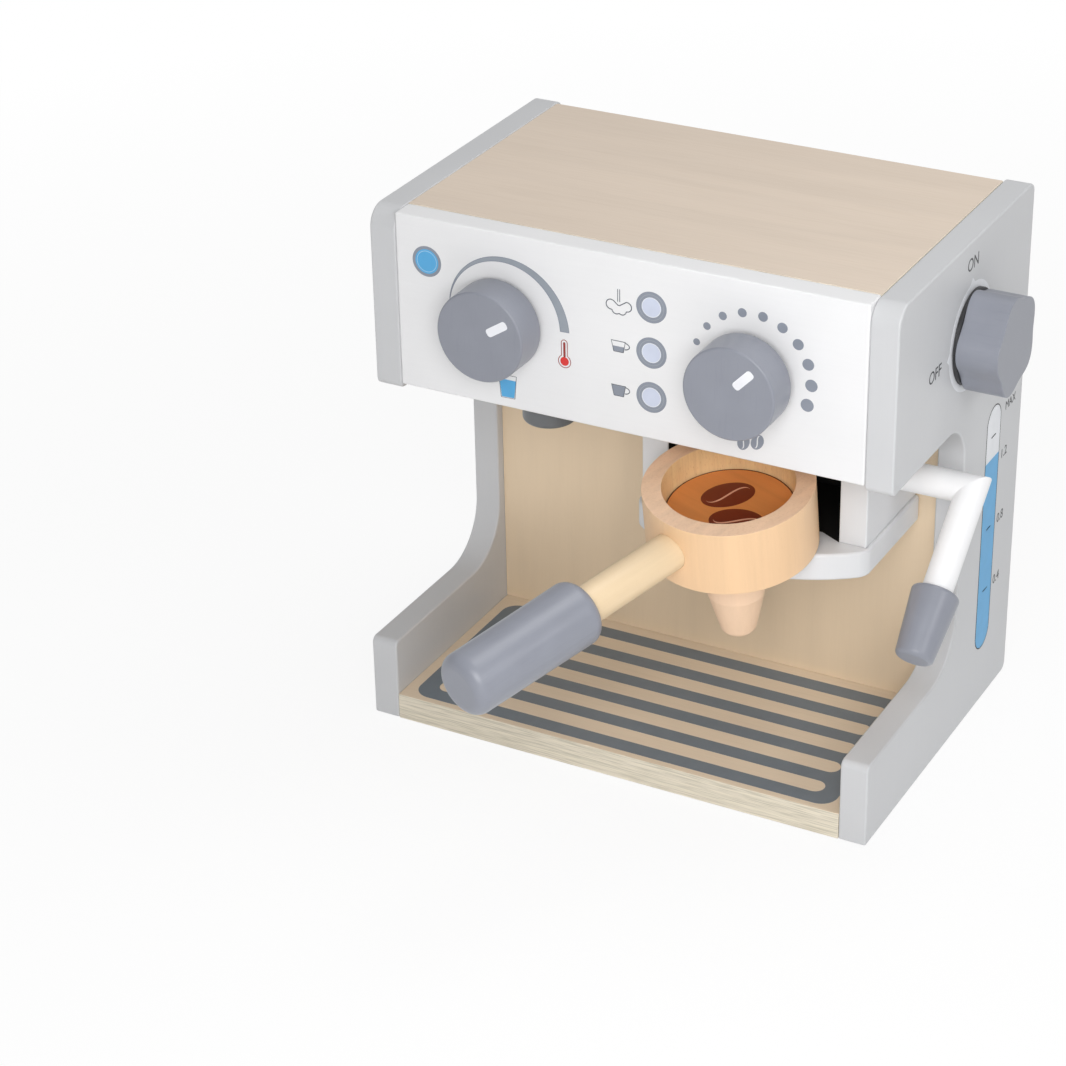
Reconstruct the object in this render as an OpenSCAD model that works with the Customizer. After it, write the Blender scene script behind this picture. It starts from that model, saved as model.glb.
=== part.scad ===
// Wooden toy espresso machine: a case of painted boards, two front dials, a side knob,
// a swivelling steam wand, a brew group with a slotted plate, and a loose portafilter.
// Millimetres. +X is to the right seen from the front, +Y goes to the back, +Z is up.
// The origin is the centre of the footprint on the surface that the toy stands on.

/* [Case] */
// Overall width across the two side panels
case_w = 230; // [205:1:280]
// Overall height
case_h = 230; // [222:1:270]
// Overall depth from the front of the feet to the back
case_d = 157; // [150:1:190]
// Thickness of each side panel
side_t = 12; // [11:0.5:16]
// Thickness of the base board
base_t = 12; // [9:0.5:16]
// Thickness of the front panel
front_t = 11; // [9:0.5:14]
// Thickness of the top panel
top_t = 9; // [8:0.5:12]
// Thickness of the back panel behind the brew group
back_t = 9; // [8:0.5:12]
// Thickness of the rear panel that closes the case
rear_t = 6; // [4:0.5:9]
// Thickness of the board that closes the head from below
head_floor_t = 6; // [4:0.5:9]
// How far the top and rear panels stand in from the side panels' rear edges
rear_inset = 5; // [0:0.5:8]

/* [Side profile] */
// How far the feet reach out in front of the head
foot_reach = 14; // [6:0.5:24]
// Height of a foot
foot_h = 37.5; // [25:0.5:50]
// Height of the underside of the side panels' head
head_under = 151.5; // [146:0.5:153.5]
// Height of the lower edge of the front panel
panel_under = 154; // [152:0.5:158]
// Distance from the head's front to the columns' front edge
column_back = 78; // [72:0.5:82]
// Distance from the head's front to the face of the back panel
panel_back = 82.5; // [79:0.5:90]
// Radius of the arch between head and column
arch_r = 20; // [8:0.5:28]
// Radius of the sweep between column and foot
sweep_r = 25; // [10:0.5:32]
// Radius of the big corners at the top of the front
corner_r = 9; // [4:0.5:14]
// Radius of the rear corners
rear_corner_r = 4; // [2:0.5:10]
// Radius of the small front corners of head and foot
nose_r = 3; // [2:0.5:8]

/* [Joinery] */
// Diameter of the glued dowels between side panels and boards
dowel_d = 6; // [5:0.5:7]
// Depth of a dowel in a side panel
dowel_in_side = 9; // [6:0.5:10]
// Depth of a dowel in a board
dowel_in_board = 15; // [10:1:20]
// Distance of a dowel from the end of a board's edge
dowel_inset = 18; // [14:1:20]
// Shank diameter of the wood screws
screw_d = 4; // [3:0.5:4]
// Head diameter of the countersunk screws
csk_d = 8; // [7:0.5:8]
// Length of the screws that hold the brew group to the back panel
group_screw_l = 30; // [22:1:34]
// How far the screws that hold the plate reach into the cheeks
plate_screw_hold = 6; // [4:0.5:8]
// Length of the screw that holds the hot water outlet
outlet_screw_l = 22; // [18:1:24]
// Distance of the cheeks' upper and lower screws from their ends
group_screw_inset = 11; // [8:0.5:14]
// Distance of the plate's screws from the front and back of the cheeks
plate_screw_inset = 10; // [6:0.5:14]

/* [Fits] */
// Radial clearance of an axle that turns in its bore
running_gap = 0.05; // [0.02:0.01:0.1]
// Radial clearance of a glued dowel or driven screw
glue_gap = 0.03; // [0.02:0.01:0.1]
// Play between pieces that move past each other
seat_gap = 0.3; // [0.2:0.05:0.4]

/* [Front dials] */
// Diameter of a dial
dial_d = 38.6; // [30:0.1:46]
// Thickness of a dial
dial_t = 16; // [15:0.5:26]
// Rounding of a dial's edges
dial_edge_r = 1; // [0.5:0.25:3]
// Distance of each dial's axis from the nearer side panel
dial_inset = 48; // [38:0.5:60]
// How far the left dial stands off the front panel
left_dial_gap = 2.2; // [0.3:0.1:8]
// How far the right dial stands off the front panel
right_dial_gap = 5.5; // [0.3:0.1:8]

/* [Power knob] */
// Mean diameter of the wavy knob
knob_d = 40; // [34:0.5:44]
// Height of the waves on its rim
knob_wave = 1.4; // [0.4:0.1:2]
// Number of lobes
knob_lobes = 5; // [4:1:9]
// Angle of the first lobe, from the back towards the top
knob_lobe_angle = 34; // [0:1:90]
// Thickness of the knob
knob_t = 17.5; // [14:0.5:24]
// Distance of the knob's axis in front of the back panel
knob_front = 6; // [6:0.5:20]
// Distance of the knob's axis below the top of the case
knob_down = 41.5; // [34:0.5:46]
// Diameter of the dark spacer behind the knob
spacer_d = 40; // [20:0.5:42]
// Thickness of the spacer
spacer_t = 1.5; // [0.8:0.1:2]

/* [Knob fixings] */
// Diameter of the wooden axles
axle_d = 8; // [7:0.5:9]
// Depth of an axle's seat in its dial or knob
axle_seat = 12; // [8:0.5:13]
// Diameter of the steel washers
washer_d = 11; // [10:0.5:11.5]
// Thickness of the steel washers
washer_t = 1.5; // [1:0.1:2]
// Shank diameter of the axle screws
axle_screw_d = 3.5; // [3:0.25:4]
// Length of the axle screws under the head
axle_screw_l = 16; // [12:0.5:18]
// Diameter of a round screw head
pan_d = 7; // [6:0.5:7]
// Height of a round screw head
pan_h = 1.9; // [1.5:0.1:2]

/* [Brew group] */
// Gap between the brew group's right cheek and the right side panel
group_side = 10; // [7:0.5:24]
// Clear width between the two cheeks
group_gap = 76; // [72:0.5:78]
// Thickness of each cheek
cheek_t = 12; // [11:0.5:14]
// Depth of the cheeks in front of the back panel
group_d = 53; // [48:0.5:56]
// Thickness of the dark block behind the portafilter
group_block_t = 8; // [5:0.5:10]
// Height of the top of the slotted plate
plate_z = 110; // [107:0.5:112]
// Thickness of the slotted plate
plate_t = 12; // [8:0.5:14]
// How far the plate stands out beside each cheek
plate_side = 1.5; // [0.5:0.5:6]
// Distance from the back panel to the foremost point of the plate
plate_reach = 74.5; // [72:0.5:78]
// Radius of the plate's curved front edge
plate_front_r = 78; // [70:0.5:90]
// Radius of the plate's front corners
plate_corner_r = 8; // [2:0.5:10]
// Width of the slot that the spout slides in
slot_w = 27; // [26:0.5:30]
// Distance from the back panel to the middle of the slot's round end
slot_end = 41; // [38:0.5:46]

/* [Hot water outlet] */
// Diameter of the outlet
outlet_d = 23; // [16:0.5:28]
// Height of the outlet's lower end
outlet_z = 131.5; // [128:0.5:133]
// Rounding of its lower edge
outlet_edge_r = 2; // [1:0.5:4]
// Distance of the outlet's axis behind the head's front
outlet_back = 39; // [30:0.5:50]

/* [Steam wand] */
// Diameter of the wand's dowels
wand_d = 12.5; // [11:0.5:13]
// Distance of the wand's axis in front of the back panel
wand_front = 27; // [22:0.5:32]
// Height of the wand's axis above the plate
wand_up = 22.3; // [21.5:0.1:23]
// Distance from the side panel to the middle of the leg
wand_out = 11.6; // [11.3:0.1:16]
// Thickness of the cheek that is left behind the arm's end
wand_web = 4.5; // [4:0.25:5]
// Angle of the leg from straight down, towards the front
wand_angle = 49.2; // [0:0.1:80]
// Length of the leg from the elbow to the tip's upper end
wand_leg_l = 45; // [36:0.5:60]
// Length of the tip
tip_l = 29.5; // [24:0.5:40]
// Diameter of the tip's upper end
tip_d1 = 20; // [17:0.5:20.5]
// Diameter of the tip's lower end
tip_d2 = 15.5; // [14:0.5:18]
// Rounding of the tip's edges
tip_edge_r = 2; // [1:0.5:3]
// Depth of the leg's seat in the tip
tip_seat = 12; // [8:0.5:16]

/* [Portafilter] */
// Diameter of the cup
cup_d = 69.5; // [64:0.5:70]
// Height of the cup
cup_h = 28.7; // [24:0.1:30]
// Rounding of the cup's outer edges
cup_edge_r = 1.2; // [0.5:0.1:2]
// Diameter of the cup's hollow
hollow_d = 53.5; // [46:0.5:54]
// Depth from the rim to the coffee
coffee_depth = 12.2; // [8:0.1:13]
// Thickness of the coffee disc
coffee_t = 2.5; // [1.5:0.1:3]
// Gap round the coffee disc
coffee_gap = 0.5; // [0.1:0.1:0.8]
// Diameter of the handle's dowel
handle_d = 15.8; // [12:0.1:17]
// Height of the handle's axis above the cup's underside
handle_z = 14.6; // [12:0.1:16]
// Depth of the dowel's seat in the cup's wall
handle_seat = 6.5; // [4:0.5:7]
// Distance from the cup's axis to the grip
grip_start = 81; // [70:0.5:100]
// Length of the grip
grip_l = 64; // [45:0.5:80]
// Diameter of the grip at the cup's side
grip_d1 = 27; // [24:0.5:32]
// Diameter of the grip at its far end
grip_d2 = 26; // [24:0.5:32]
// Rounding of the grip's edges
grip_edge_r = 5; // [2:0.5:6]
// Depth of the dowel's seat in the grip
grip_seat = 25; // [15:1:35]
// Distance from the cup's axis back to the middle of the slot's round end
cup_pulled = 30.7; // [28:0.1:36]
// How far the cup leans out of the level on the plate's front edge
cup_tilt = 9.5; // [0:0.1:10]
// How far the handle is turned to the left
cup_turn = 19.5; // [-30:0.5:45]

/* [Spout] */
// Diameter of the spout below the cup
spout_d = 24; // [20:0.5:24]
// Length of the spout's straight part
spout_straight = 24; // [18:0.5:28]
// Length of the spout's taper
spout_taper = 21; // [14:0.5:26]
// Diameter at the end of the taper
spout_d2 = 14; // [10:0.5:18]
// Rounding of the spout's lower end
spout_edge_r = 4; // [2:0.5:4.5]
// Diameter of the spout's tenon in the cup
tenon_d = 10; // [8:0.5:12]
// Length of the spout's tenon
tenon_l = 9; // [6:0.5:10]

/* [Hidden] */
$fn = 96;

// A cut runs this far past the face it opens
past = 1;
// A corner's arc crosses the curve that it rounds by this much, so that they meet in one clear point
blend = 0.02;

// Planes of the case
inner_w = case_w - 2 * side_t;
foot_y = -case_d / 2;
rear_y = case_d / 2;
closed_y = rear_y - rear_inset;
head_y = foot_y + foot_reach;
column_y = head_y + column_back;
back_y = head_y + panel_back;
board_l = rear_y - foot_y;
head_h = case_h - panel_under;
floor_top = panel_under + head_floor_t;

// Brew group; its axis is group_x to the right of the middle plane
group_x = inner_w / 2 - group_side - cheek_t - group_gap / 2;
cheek_x = group_gap / 2 + cheek_t / 2;
cheek_h = panel_under - plate_z;
plate_half = group_gap / 2 + cheek_t + plate_side;
plate_front_y = back_y - plate_reach;
plate_arc_y = plate_front_y + plate_front_r;
plate_low = plate_z - plate_t;
plate_screw_l = plate_t + plate_screw_hold;
slot_y = back_y - slot_end;
screw_rows = [plate_z + group_screw_inset, panel_under - group_screw_inset];
plate_screw_ys = [back_y - plate_screw_inset, back_y - group_d + plate_screw_inset];

// Dials and knob; the dials sit half way up the front panel
dial_x = inner_w / 2 - dial_inset;
dial_z = (panel_under + case_h) / 2;
knob_y = back_y - knob_front;
knob_z = case_h - knob_down;
knob_back_x = case_w / 2 + seat_gap + spacer_t;

// Steam wand
wand_y = back_y - wand_front;
wand_z = plate_z + wand_up;
wand_leg_x = case_w / 2 + wand_out;
cheek_out_x = group_x + group_gap / 2 + cheek_t;
cheek_in_x = group_x + group_gap / 2;
arm_start_x = cheek_in_x + wand_web + seat_gap;

// Outlet
outlet_x = -dial_x;
outlet_y = head_y + outlet_back;

// Portafilter: its cup bears on the front edge of the plate beside the slot
cup_y = slot_y - cup_pulled;
bearing_y = plate_arc_y - sqrt(plate_front_r ^ 2 - (slot_w / 2) ^ 2);
cup_z = plate_z + seat_gap / cos(cup_tilt) + (cup_y - bearing_y) * tan(cup_tilt);
hollow_floor = cup_h - coffee_depth - coffee_t;

// Colours
paint_grey = [0.76, 0.77, 0.78];
paint_white = [0.97, 0.97, 0.97];
knob_grey = [0.55, 0.56, 0.6];
outlet_grey = [0.38, 0.4, 0.42];
group_black = [0.03, 0.03, 0.03];
birch = [0.87, 0.78, 0.68];
beech = [0.95, 0.8, 0.62];
coffee_brown = [0.75, 0.48, 0.25];
steel = [0.7, 0.7, 0.72];

// Where the glued dowels sit, as [y, z], the same at both ends of each board
base_dowels = [for (y = [foot_y + dowel_inset, rear_y - dowel_inset]) [y, base_t / 2]];
top_dowels = [for (y = [head_y + front_t + dowel_inset, closed_y - dowel_inset]) [y, case_h - top_t / 2]];
front_dowels = [for (z = [panel_under + dowel_inset, case_h - dowel_inset]) [head_y + front_t / 2, z]];
back_dowels = [for (z = [base_t + 2 * dowel_inset, case_h - 2 * dowel_inset]) [back_y + back_t / 2, z]];
all_dowels = concat(base_dowels, top_dowels, front_dowels, back_dowels);

// ---- helpers ----

// What is taken off a square corner at the origin to round it; the body lies at +x +y
module corner_waste(r) {
    difference() {
        translate([-past, -past]) square(r + past);
        translate([r, r]) circle(r);
    }
}

// What is added in an inner corner at the origin; the free space lies at +x +y
module corner_fill(r) {
    difference() {
        translate([-past, -past]) square(r + past);
        translate([r, r]) circle(r);
    }
}

// What rounds the rim of a turned piece whose side starts at [x, 0] and leans out by
// lean for each millimetre that it rises
module rim_waste(x, lean, r) {
    slant = sqrt(1 + lean ^ 2);
    centre_x = x - r * (slant - lean);
    far_x = centre_x + (r + past) / slant;
    difference() {
        polygon([[centre_x, r], [centre_x, -past], [far_x, -past], [far_x, r - (r + past) * lean / slant]]);
        translate([centre_x, r]) circle(r);
    }
}

// A turned piece about Z with a straight side and rounded rims
module turned(d_low, d_high, l, r_low, r_high) {
    lean = (d_high - d_low) / 2 / l;
    rotate_extrude() difference() {
        polygon([[0, 0], [d_low / 2, 0], [d_high / 2, l], [0, l]]);
        rim_waste(d_low / 2, lean, r_low);
        translate([0, l]) mirror([0, 1]) rim_waste(d_high / 2, -lean, r_high);
    }
}

// A cylinder along +X that starts at x
module rod_x(x, l, d) {
    translate([x, 0, 0]) rotate([0, 90, 0]) cylinder(d = d, h = l);
}

// A cylinder along +Y that starts at y
module rod_y(y, l, d) {
    translate([0, y, 0]) rotate([-90, 0, 0]) cylinder(d = d, h = l);
}

// A countersunk screw: head at the origin, shank along +Z
module csk_screw(l, gap) {
    cone_h = (csk_d - screw_d) / 2;
    cylinder(d1 = csk_d + 2 * gap, d2 = screw_d + 2 * gap, h = cone_h);
    cylinder(d = screw_d + 2 * gap, h = l + gap);
}

// A round-headed screw: underside of the head at the origin, shank along +Z
module pan_screw(l, d) {
    translate([0, 0, -pan_h]) cylinder(d = pan_d, h = pan_h);
    translate([0, 0, -past / 2]) cylinder(d = d, h = l + past / 2);
}

// Blind bores for the glued dowels, on both sides of the middle plane
module dowel_bores(places) {
    for (side = [-1, 1], place = places)
        translate([side * inner_w / 2, place[0], place[1]])
            rod_x(-(side > 0 ? dowel_in_board : dowel_in_side) - glue_gap,
                dowel_in_side + dowel_in_board + 2 * glue_gap, dowel_d + 2 * glue_gap);
}

// ---- case ----

module side_profile() {
    difference() {
        union() {
            translate([column_y, 0]) square([rear_y - column_y, case_h]);
            translate([head_y, head_under]) square([rear_y - head_y, case_h - head_under]);
            translate([foot_y, 0]) square([board_l, foot_h]);
            translate([column_y, head_under]) mirror([1, 0]) mirror([0, 1]) corner_fill(arch_r);
            translate([column_y, foot_h]) mirror([1, 0]) corner_fill(sweep_r);
        }
        translate([head_y, case_h]) mirror([0, 1]) corner_waste(corner_r);
        translate([rear_y, case_h]) mirror([1, 0]) mirror([0, 1]) corner_waste(rear_corner_r);
        translate([rear_y, 0]) mirror([1, 0]) corner_waste(rear_corner_r);
        translate([head_y, head_under]) corner_waste(nose_r);
        translate([foot_y, foot_h]) mirror([0, 1]) corner_waste(nose_r);
    }
}

module side_board(x) {
    translate([x, 0, 0]) rotate([90, 0, 90]) linear_extrude(side_t) side_profile();
}

module left_side_panel() {
    color(paint_grey) difference() {
        side_board(-case_w / 2);
        dowel_bores(all_dowels);
    }
}

module right_side_panel() {
    color(paint_grey) difference() {
        side_board(inner_w / 2);
        dowel_bores(all_dowels);
        translate([0, knob_y, knob_z])
            rod_x(inner_w / 2 - past, side_t + 2 * past, axle_d + 2 * running_gap);
    }
}

module base_board() {
    color(birch) difference() {
        translate([-inner_w / 2, foot_y, 0]) cube([inner_w, board_l, base_t]);
        dowel_bores(base_dowels);
    }
}

module top_panel() {
    color(birch) difference() {
        translate([-inner_w / 2, head_y + front_t, case_h - top_t])
            cube([inner_w, closed_y - head_y - front_t, top_t]);
        dowel_bores(top_dowels);
    }
}

module front_panel() {
    color(paint_white) difference() {
        translate([-inner_w / 2, head_y, panel_under]) cube([inner_w, front_t, head_h]);
        dowel_bores(front_dowels);
        for (x = [-dial_x, dial_x]) translate([x, 0, dial_z])
            rod_y(head_y - past, front_t + 2 * past, axle_d + 2 * running_gap);
    }
}

module back_panel() {
    color(birch) difference() {
        translate([-inner_w / 2, back_y, base_t]) cube([inner_w, back_t, case_h - base_t - top_t]);
        dowel_bores(back_dowels);
        group_screw_set(glue_gap);
    }
}

module rear_panel() {
    color(birch) translate([-inner_w / 2, closed_y - rear_t, base_t])
        cube([inner_w, rear_t, case_h - base_t - top_t]);
}

module head_floor() {
    color(birch) difference() {
        translate([-inner_w / 2, head_y + front_t, panel_under])
            cube([inner_w, back_y - head_y - front_t, head_floor_t]);
        outlet_screw_shape(glue_gap);
    }
}

module case_dowels() {
    color(beech) for (side = [-1, 1], place = all_dowels)
        translate([side * inner_w / 2, place[0], place[1]])
            rod_x(-(side > 0 ? dowel_in_board : dowel_in_side), dowel_in_side + dowel_in_board, dowel_d);
}

// ---- brew group ----

module cheek(side) {
    translate([group_x + side * cheek_x - cheek_t / 2, back_y - group_d, plate_z])
        cube([cheek_t, group_d, cheek_h]);
}

module group_screw_set(gap) {
    for (side = [-1, 1], z = screw_rows)
        translate([group_x + side * cheek_x, back_y + back_t, z]) rotate([90, 0, 0])
            csk_screw(group_screw_l, gap);
}

module plate_screw_set(gap) {
    for (side = [-1, 1], y = plate_screw_ys)
        translate([group_x + side * cheek_x, y, plate_low]) csk_screw(plate_screw_l, gap);
}

module group_cheek_left() {
    color(paint_grey) difference() {
        cheek(-1);
        group_screw_set(glue_gap);
        plate_screw_set(glue_gap);
    }
}

module group_cheek_right() {
    color(paint_grey) difference() {
        cheek(1);
        group_screw_set(glue_gap);
        plate_screw_set(glue_gap);
        translate([0, wand_y, wand_z]) {
            rod_x(cheek_in_x + wand_web, cheek_t, wand_d + 2 * running_gap);
            rod_x(cheek_in_x - past, wand_web + 2 * past, screw_d + 2 * running_gap);
            rod_x(cheek_in_x - past, past + pan_h + 2 * seat_gap, pan_d + 2 * seat_gap);
        }
    }
}

module group_back_block() {
    color(group_black) translate([cheek_in_x - group_gap, back_y - group_block_t, plate_z])
        cube([group_gap, group_block_t, cheek_h]);
}

// Outline of the plate about the brew group's axis, with its curved front and round corners
module plate_outline() {
    corner_x = plate_half - plate_corner_r;
    reach = plate_front_r - plate_corner_r;
    corner_y = plate_arc_y - sqrt(reach ^ 2 - corner_x ^ 2);
    out = (plate_corner_r + past) / reach;
    touch = [corner_x * (1 + out), corner_y + (corner_y - plate_arc_y) * out];
    difference() {
        intersection() {
            translate([-plate_half, plate_front_y - past]) square([2 * plate_half, plate_reach + past]);
            translate([0, plate_arc_y]) circle(plate_front_r);
        }
        for (side = [0, 1]) mirror([side, 0]) difference() {
            polygon([
                [corner_x, corner_y], [plate_half + past, corner_y], [plate_half + past, touch.y], touch
            ]);
            translate([corner_x, corner_y]) circle(plate_corner_r + blend);
        }
    }
}

module group_plate() {
    color(paint_grey) difference() {
        translate([group_x, 0, plate_low]) linear_extrude(plate_t) difference() {
            plate_outline();
            translate([0, slot_y]) circle(d = slot_w);
            translate([-slot_w / 2, plate_front_y - past]) square([slot_w, slot_y - plate_front_y + past]);
        }
        plate_screw_set(glue_gap);
    }
}

module group_screws() {
    color(steel) group_screw_set(0);
}

module plate_screws() {
    color(steel) plate_screw_set(0);
}

// ---- hot water outlet ----

module outlet_screw_shape(gap) {
    translate([outlet_x, outlet_y, floor_top]) rotate([180, 0, 0]) csk_screw(outlet_screw_l, gap);
}

module hot_water_outlet() {
    color(outlet_grey) difference() {
        translate([outlet_x, outlet_y, outlet_z]) rotate_extrude() difference() {
            square([outlet_d / 2, panel_under - outlet_z]);
            translate([outlet_d / 2, 0]) mirror([1, 0]) corner_waste(outlet_edge_r);
        }
        outlet_screw_shape(glue_gap);
    }
}

module outlet_screw() {
    color(steel) outlet_screw_shape(0);
}

// ---- knobs: each is built about the origin, with its back face at z = 0 and its front at +Z ----

module axle_socket() {
    translate([0, 0, -past])
        cylinder(d = axle_d + 2 * glue_gap, h = axle_seat + past + glue_gap);
}

module knob_axle(board_t, stand_off) {
    below = stand_off + board_t + seat_gap;
    difference() {
        translate([0, 0, -below]) cylinder(d = axle_d, h = below + axle_seat);
        translate([0, 0, -below - past])
            cylinder(d = axle_screw_d + 2 * glue_gap, h = axle_screw_l + past + glue_gap);
    }
}

module knob_washer(board_t, stand_off) {
    translate([0, 0, -stand_off - board_t - seat_gap - washer_t]) difference() {
        cylinder(d = washer_d, h = washer_t);
        translate([0, 0, -past]) cylinder(d = axle_screw_d + 2 * running_gap, h = washer_t + 2 * past);
    }
}

module knob_screw(board_t, stand_off) {
    translate([0, 0, -stand_off - board_t - seat_gap - washer_t])
        pan_screw(axle_screw_l + washer_t, axle_screw_d);
}

module at_left_dial() {
    translate([-dial_x, head_y - left_dial_gap, dial_z]) rotate([90, 0, 0]) children();
}

module at_right_dial() {
    translate([dial_x, head_y - right_dial_gap, dial_z]) rotate([90, 0, 0]) children();
}

module at_power_knob() {
    translate([knob_back_x, knob_y, knob_z]) rotate([90, 0, 90]) children();
}

module dial() {
    difference() {
        turned(dial_d, dial_d, dial_t, dial_edge_r, dial_edge_r);
        axle_socket();
    }
}

module left_dial() {
    color(knob_grey) at_left_dial() dial();
}

module right_dial() {
    color(knob_grey) at_right_dial() dial();
}

module left_dial_axle() {
    color(beech) at_left_dial() knob_axle(front_t, left_dial_gap);
}

module right_dial_axle() {
    color(beech) at_right_dial() knob_axle(front_t, right_dial_gap);
}

module left_dial_washer() {
    color(steel) at_left_dial() knob_washer(front_t, left_dial_gap);
}

module right_dial_washer() {
    color(steel) at_right_dial() knob_washer(front_t, right_dial_gap);
}

module left_dial_screw() {
    color(steel) at_left_dial() knob_screw(front_t, left_dial_gap);
}

module right_dial_screw() {
    color(steel) at_right_dial() knob_screw(front_t, right_dial_gap);
}

// Rim of the wavy knob: a circle whose radius swings once per lobe
function knob_rim(angle) = knob_d / 2 + knob_wave * cos(knob_lobes * (angle - knob_lobe_angle));

module power_knob() {
    steps = 16 * knob_lobes;
    color(knob_grey) at_power_knob() difference() {
        linear_extrude(knob_t) polygon([
            for (i = [0 : steps - 1])
                let (angle = i * 360 / steps) knob_rim(angle) * [cos(angle), sin(angle)]
        ]);
        axle_socket();
    }
}

module power_knob_spacer() {
    color(group_black) at_power_knob() translate([0, 0, -spacer_t]) difference() {
        cylinder(d = spacer_d, h = spacer_t);
        translate([0, 0, -past]) cylinder(d = axle_d + 2 * glue_gap, h = spacer_t + 2 * past);
    }
}

module power_knob_axle() {
    color(beech) at_power_knob() knob_axle(side_t, spacer_t + seat_gap);
}

module power_knob_washer() {
    color(steel) at_power_knob() knob_washer(side_t, spacer_t + seat_gap);
}

module power_knob_screw() {
    color(steel) at_power_knob() knob_screw(side_t, spacer_t + seat_gap);
}

// ---- steam wand: its elbow is the origin, the arm along -X, the leg along -Z ----

module at_wand() {
    translate([wand_leg_x, wand_y, wand_z]) rotate([-wand_angle, 0, 0]) children();
}

// Half of space on the leg's side of the elbow's mitre
module leg_side() {
    rotate([0, -45, 0]) translate([-2 * wand_d, -wand_d, -4 * wand_d])
        cube([4 * wand_d, 2 * wand_d, 4 * wand_d]);
}

module wand_arm() {
    arm_l = wand_leg_x - arm_start_x;
    color(paint_white) at_wand() difference() {
        rod_x(-arm_l, arm_l + wand_d, wand_d);
        leg_side();
        rod_x(-arm_l - past, axle_screw_l + past, axle_screw_d + 2 * glue_gap);
    }
}

module wand_leg() {
    color(paint_white) at_wand() intersection() {
        translate([0, 0, -wand_leg_l - tip_seat]) cylinder(d = wand_d, h = wand_leg_l + tip_seat + wand_d);
        union() {
            leg_side();
            translate([-wand_d, -wand_d, -wand_leg_l - tip_seat - past])
                cube([2 * wand_d, 2 * wand_d, wand_leg_l + tip_seat + past - wand_d]);
        }
    }
}

module wand_tip() {
    color(knob_grey) at_wand() translate([0, 0, -wand_leg_l - tip_l]) difference() {
        turned(tip_d2, tip_d1, tip_l, tip_edge_r, tip_edge_r);
        translate([0, 0, tip_l - tip_seat - glue_gap])
            cylinder(d = wand_d + 2 * glue_gap, h = tip_seat + past + glue_gap);
    }
}

module wand_screw() {
    head_x = cheek_in_x + seat_gap + pan_h;
    color(steel) translate([head_x, wand_y, wand_z]) rotate([0, 90, 0])
        pan_screw(arm_start_x - head_x + axle_screw_l - glue_gap - past / 2, axle_screw_d);
}

// ---- portafilter: the cup's underside is z = 0, its axis is Z, the handle points to -Y ----

module at_cup() {
    translate([group_x, cup_y, cup_z]) rotate([cup_tilt, 0, 0]) rotate([0, 0, -cup_turn]) children();
}

module portafilter_cup() {
    color(beech) at_cup() difference() {
        turned(cup_d, cup_d, cup_h, cup_edge_r, cup_edge_r);
        translate([0, 0, hollow_floor]) cylinder(d = hollow_d, h = cup_h);
        translate([0, 0, handle_z])
            rod_y(-cup_d, cup_d / 2 + handle_seat + glue_gap, handle_d + 2 * glue_gap);
        translate([0, 0, -past]) cylinder(d = tenon_d + 2 * running_gap, h = tenon_l + past + seat_gap);
    }
}

module coffee_disc() {
    color(coffee_brown) at_cup() translate([0, 0, hollow_floor])
        cylinder(d = hollow_d - 2 * coffee_gap, h = coffee_t);
}

module portafilter_spout() {
    shoulder_z = -seat_gap;
    taper_z = shoulder_z - spout_straight;
    end_z = taper_z - spout_taper;
    color(beech) at_cup() rotate_extrude() difference() {
        polygon([
            [0, tenon_l], [tenon_d / 2, tenon_l], [tenon_d / 2, shoulder_z], [spout_d / 2, shoulder_z],
            [spout_d / 2, taper_z], [spout_d2 / 2, end_z], [0, end_z]
        ]);
        translate([0, end_z])
            rim_waste(spout_d2 / 2, (spout_d - spout_d2) / 2 / spout_taper, spout_edge_r);
    }
}

module handle_dowel() {
    start = cup_d / 2 - handle_seat;
    color(birch) at_cup() translate([0, 0, handle_z])
        rod_y(-grip_start - grip_seat, grip_start + grip_seat - start, handle_d);
}

module handle_grip() {
    color(knob_grey) at_cup() translate([0, -grip_start - grip_l, handle_z])
        rotate([-90, 0, 0]) difference() {
            turned(grip_d2, grip_d1, grip_l, grip_edge_r, grip_edge_r);
            translate([0, 0, grip_l - grip_seat - glue_gap])
                cylinder(d = handle_d + 2 * glue_gap, h = grip_seat + past + glue_gap);
        }
}

left_side_panel();
right_side_panel();
base_board();
top_panel();
front_panel();
back_panel();
rear_panel();
head_floor();
case_dowels();
group_cheek_left();
group_cheek_right();
group_back_block();
group_plate();
group_screws();
plate_screws();
hot_water_outlet();
outlet_screw();
left_dial();
left_dial_axle();
left_dial_washer();
left_dial_screw();
right_dial();
right_dial_axle();
right_dial_washer();
right_dial_screw();
power_knob();
power_knob_spacer();
power_knob_axle();
power_knob_washer();
power_knob_screw();
wand_arm();
wand_leg();
wand_tip();
wand_screw();
portafilter_cup();
coffee_disc();
portafilter_spout();
handle_dowel();
handle_grip();
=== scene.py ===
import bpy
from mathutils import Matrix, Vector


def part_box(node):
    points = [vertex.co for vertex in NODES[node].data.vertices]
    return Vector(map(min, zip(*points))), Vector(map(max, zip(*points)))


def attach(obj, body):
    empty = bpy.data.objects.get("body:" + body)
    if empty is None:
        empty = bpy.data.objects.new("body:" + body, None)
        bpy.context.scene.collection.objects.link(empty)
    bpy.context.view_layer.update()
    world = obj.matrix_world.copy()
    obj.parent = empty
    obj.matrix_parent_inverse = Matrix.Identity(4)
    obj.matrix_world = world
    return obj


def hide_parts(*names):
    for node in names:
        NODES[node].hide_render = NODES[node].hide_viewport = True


bl_info = {
    "name": "Toy Coffee Maker",
    "version": (1, 0, 0),
    "blender": (4, 5, 0),
    "location": "View3D > Sidebar > Coffee Maker",
    "description": "Pieces, prints and finishes of a wooden toy espresso machine",
    "category": "Object",
}

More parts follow.
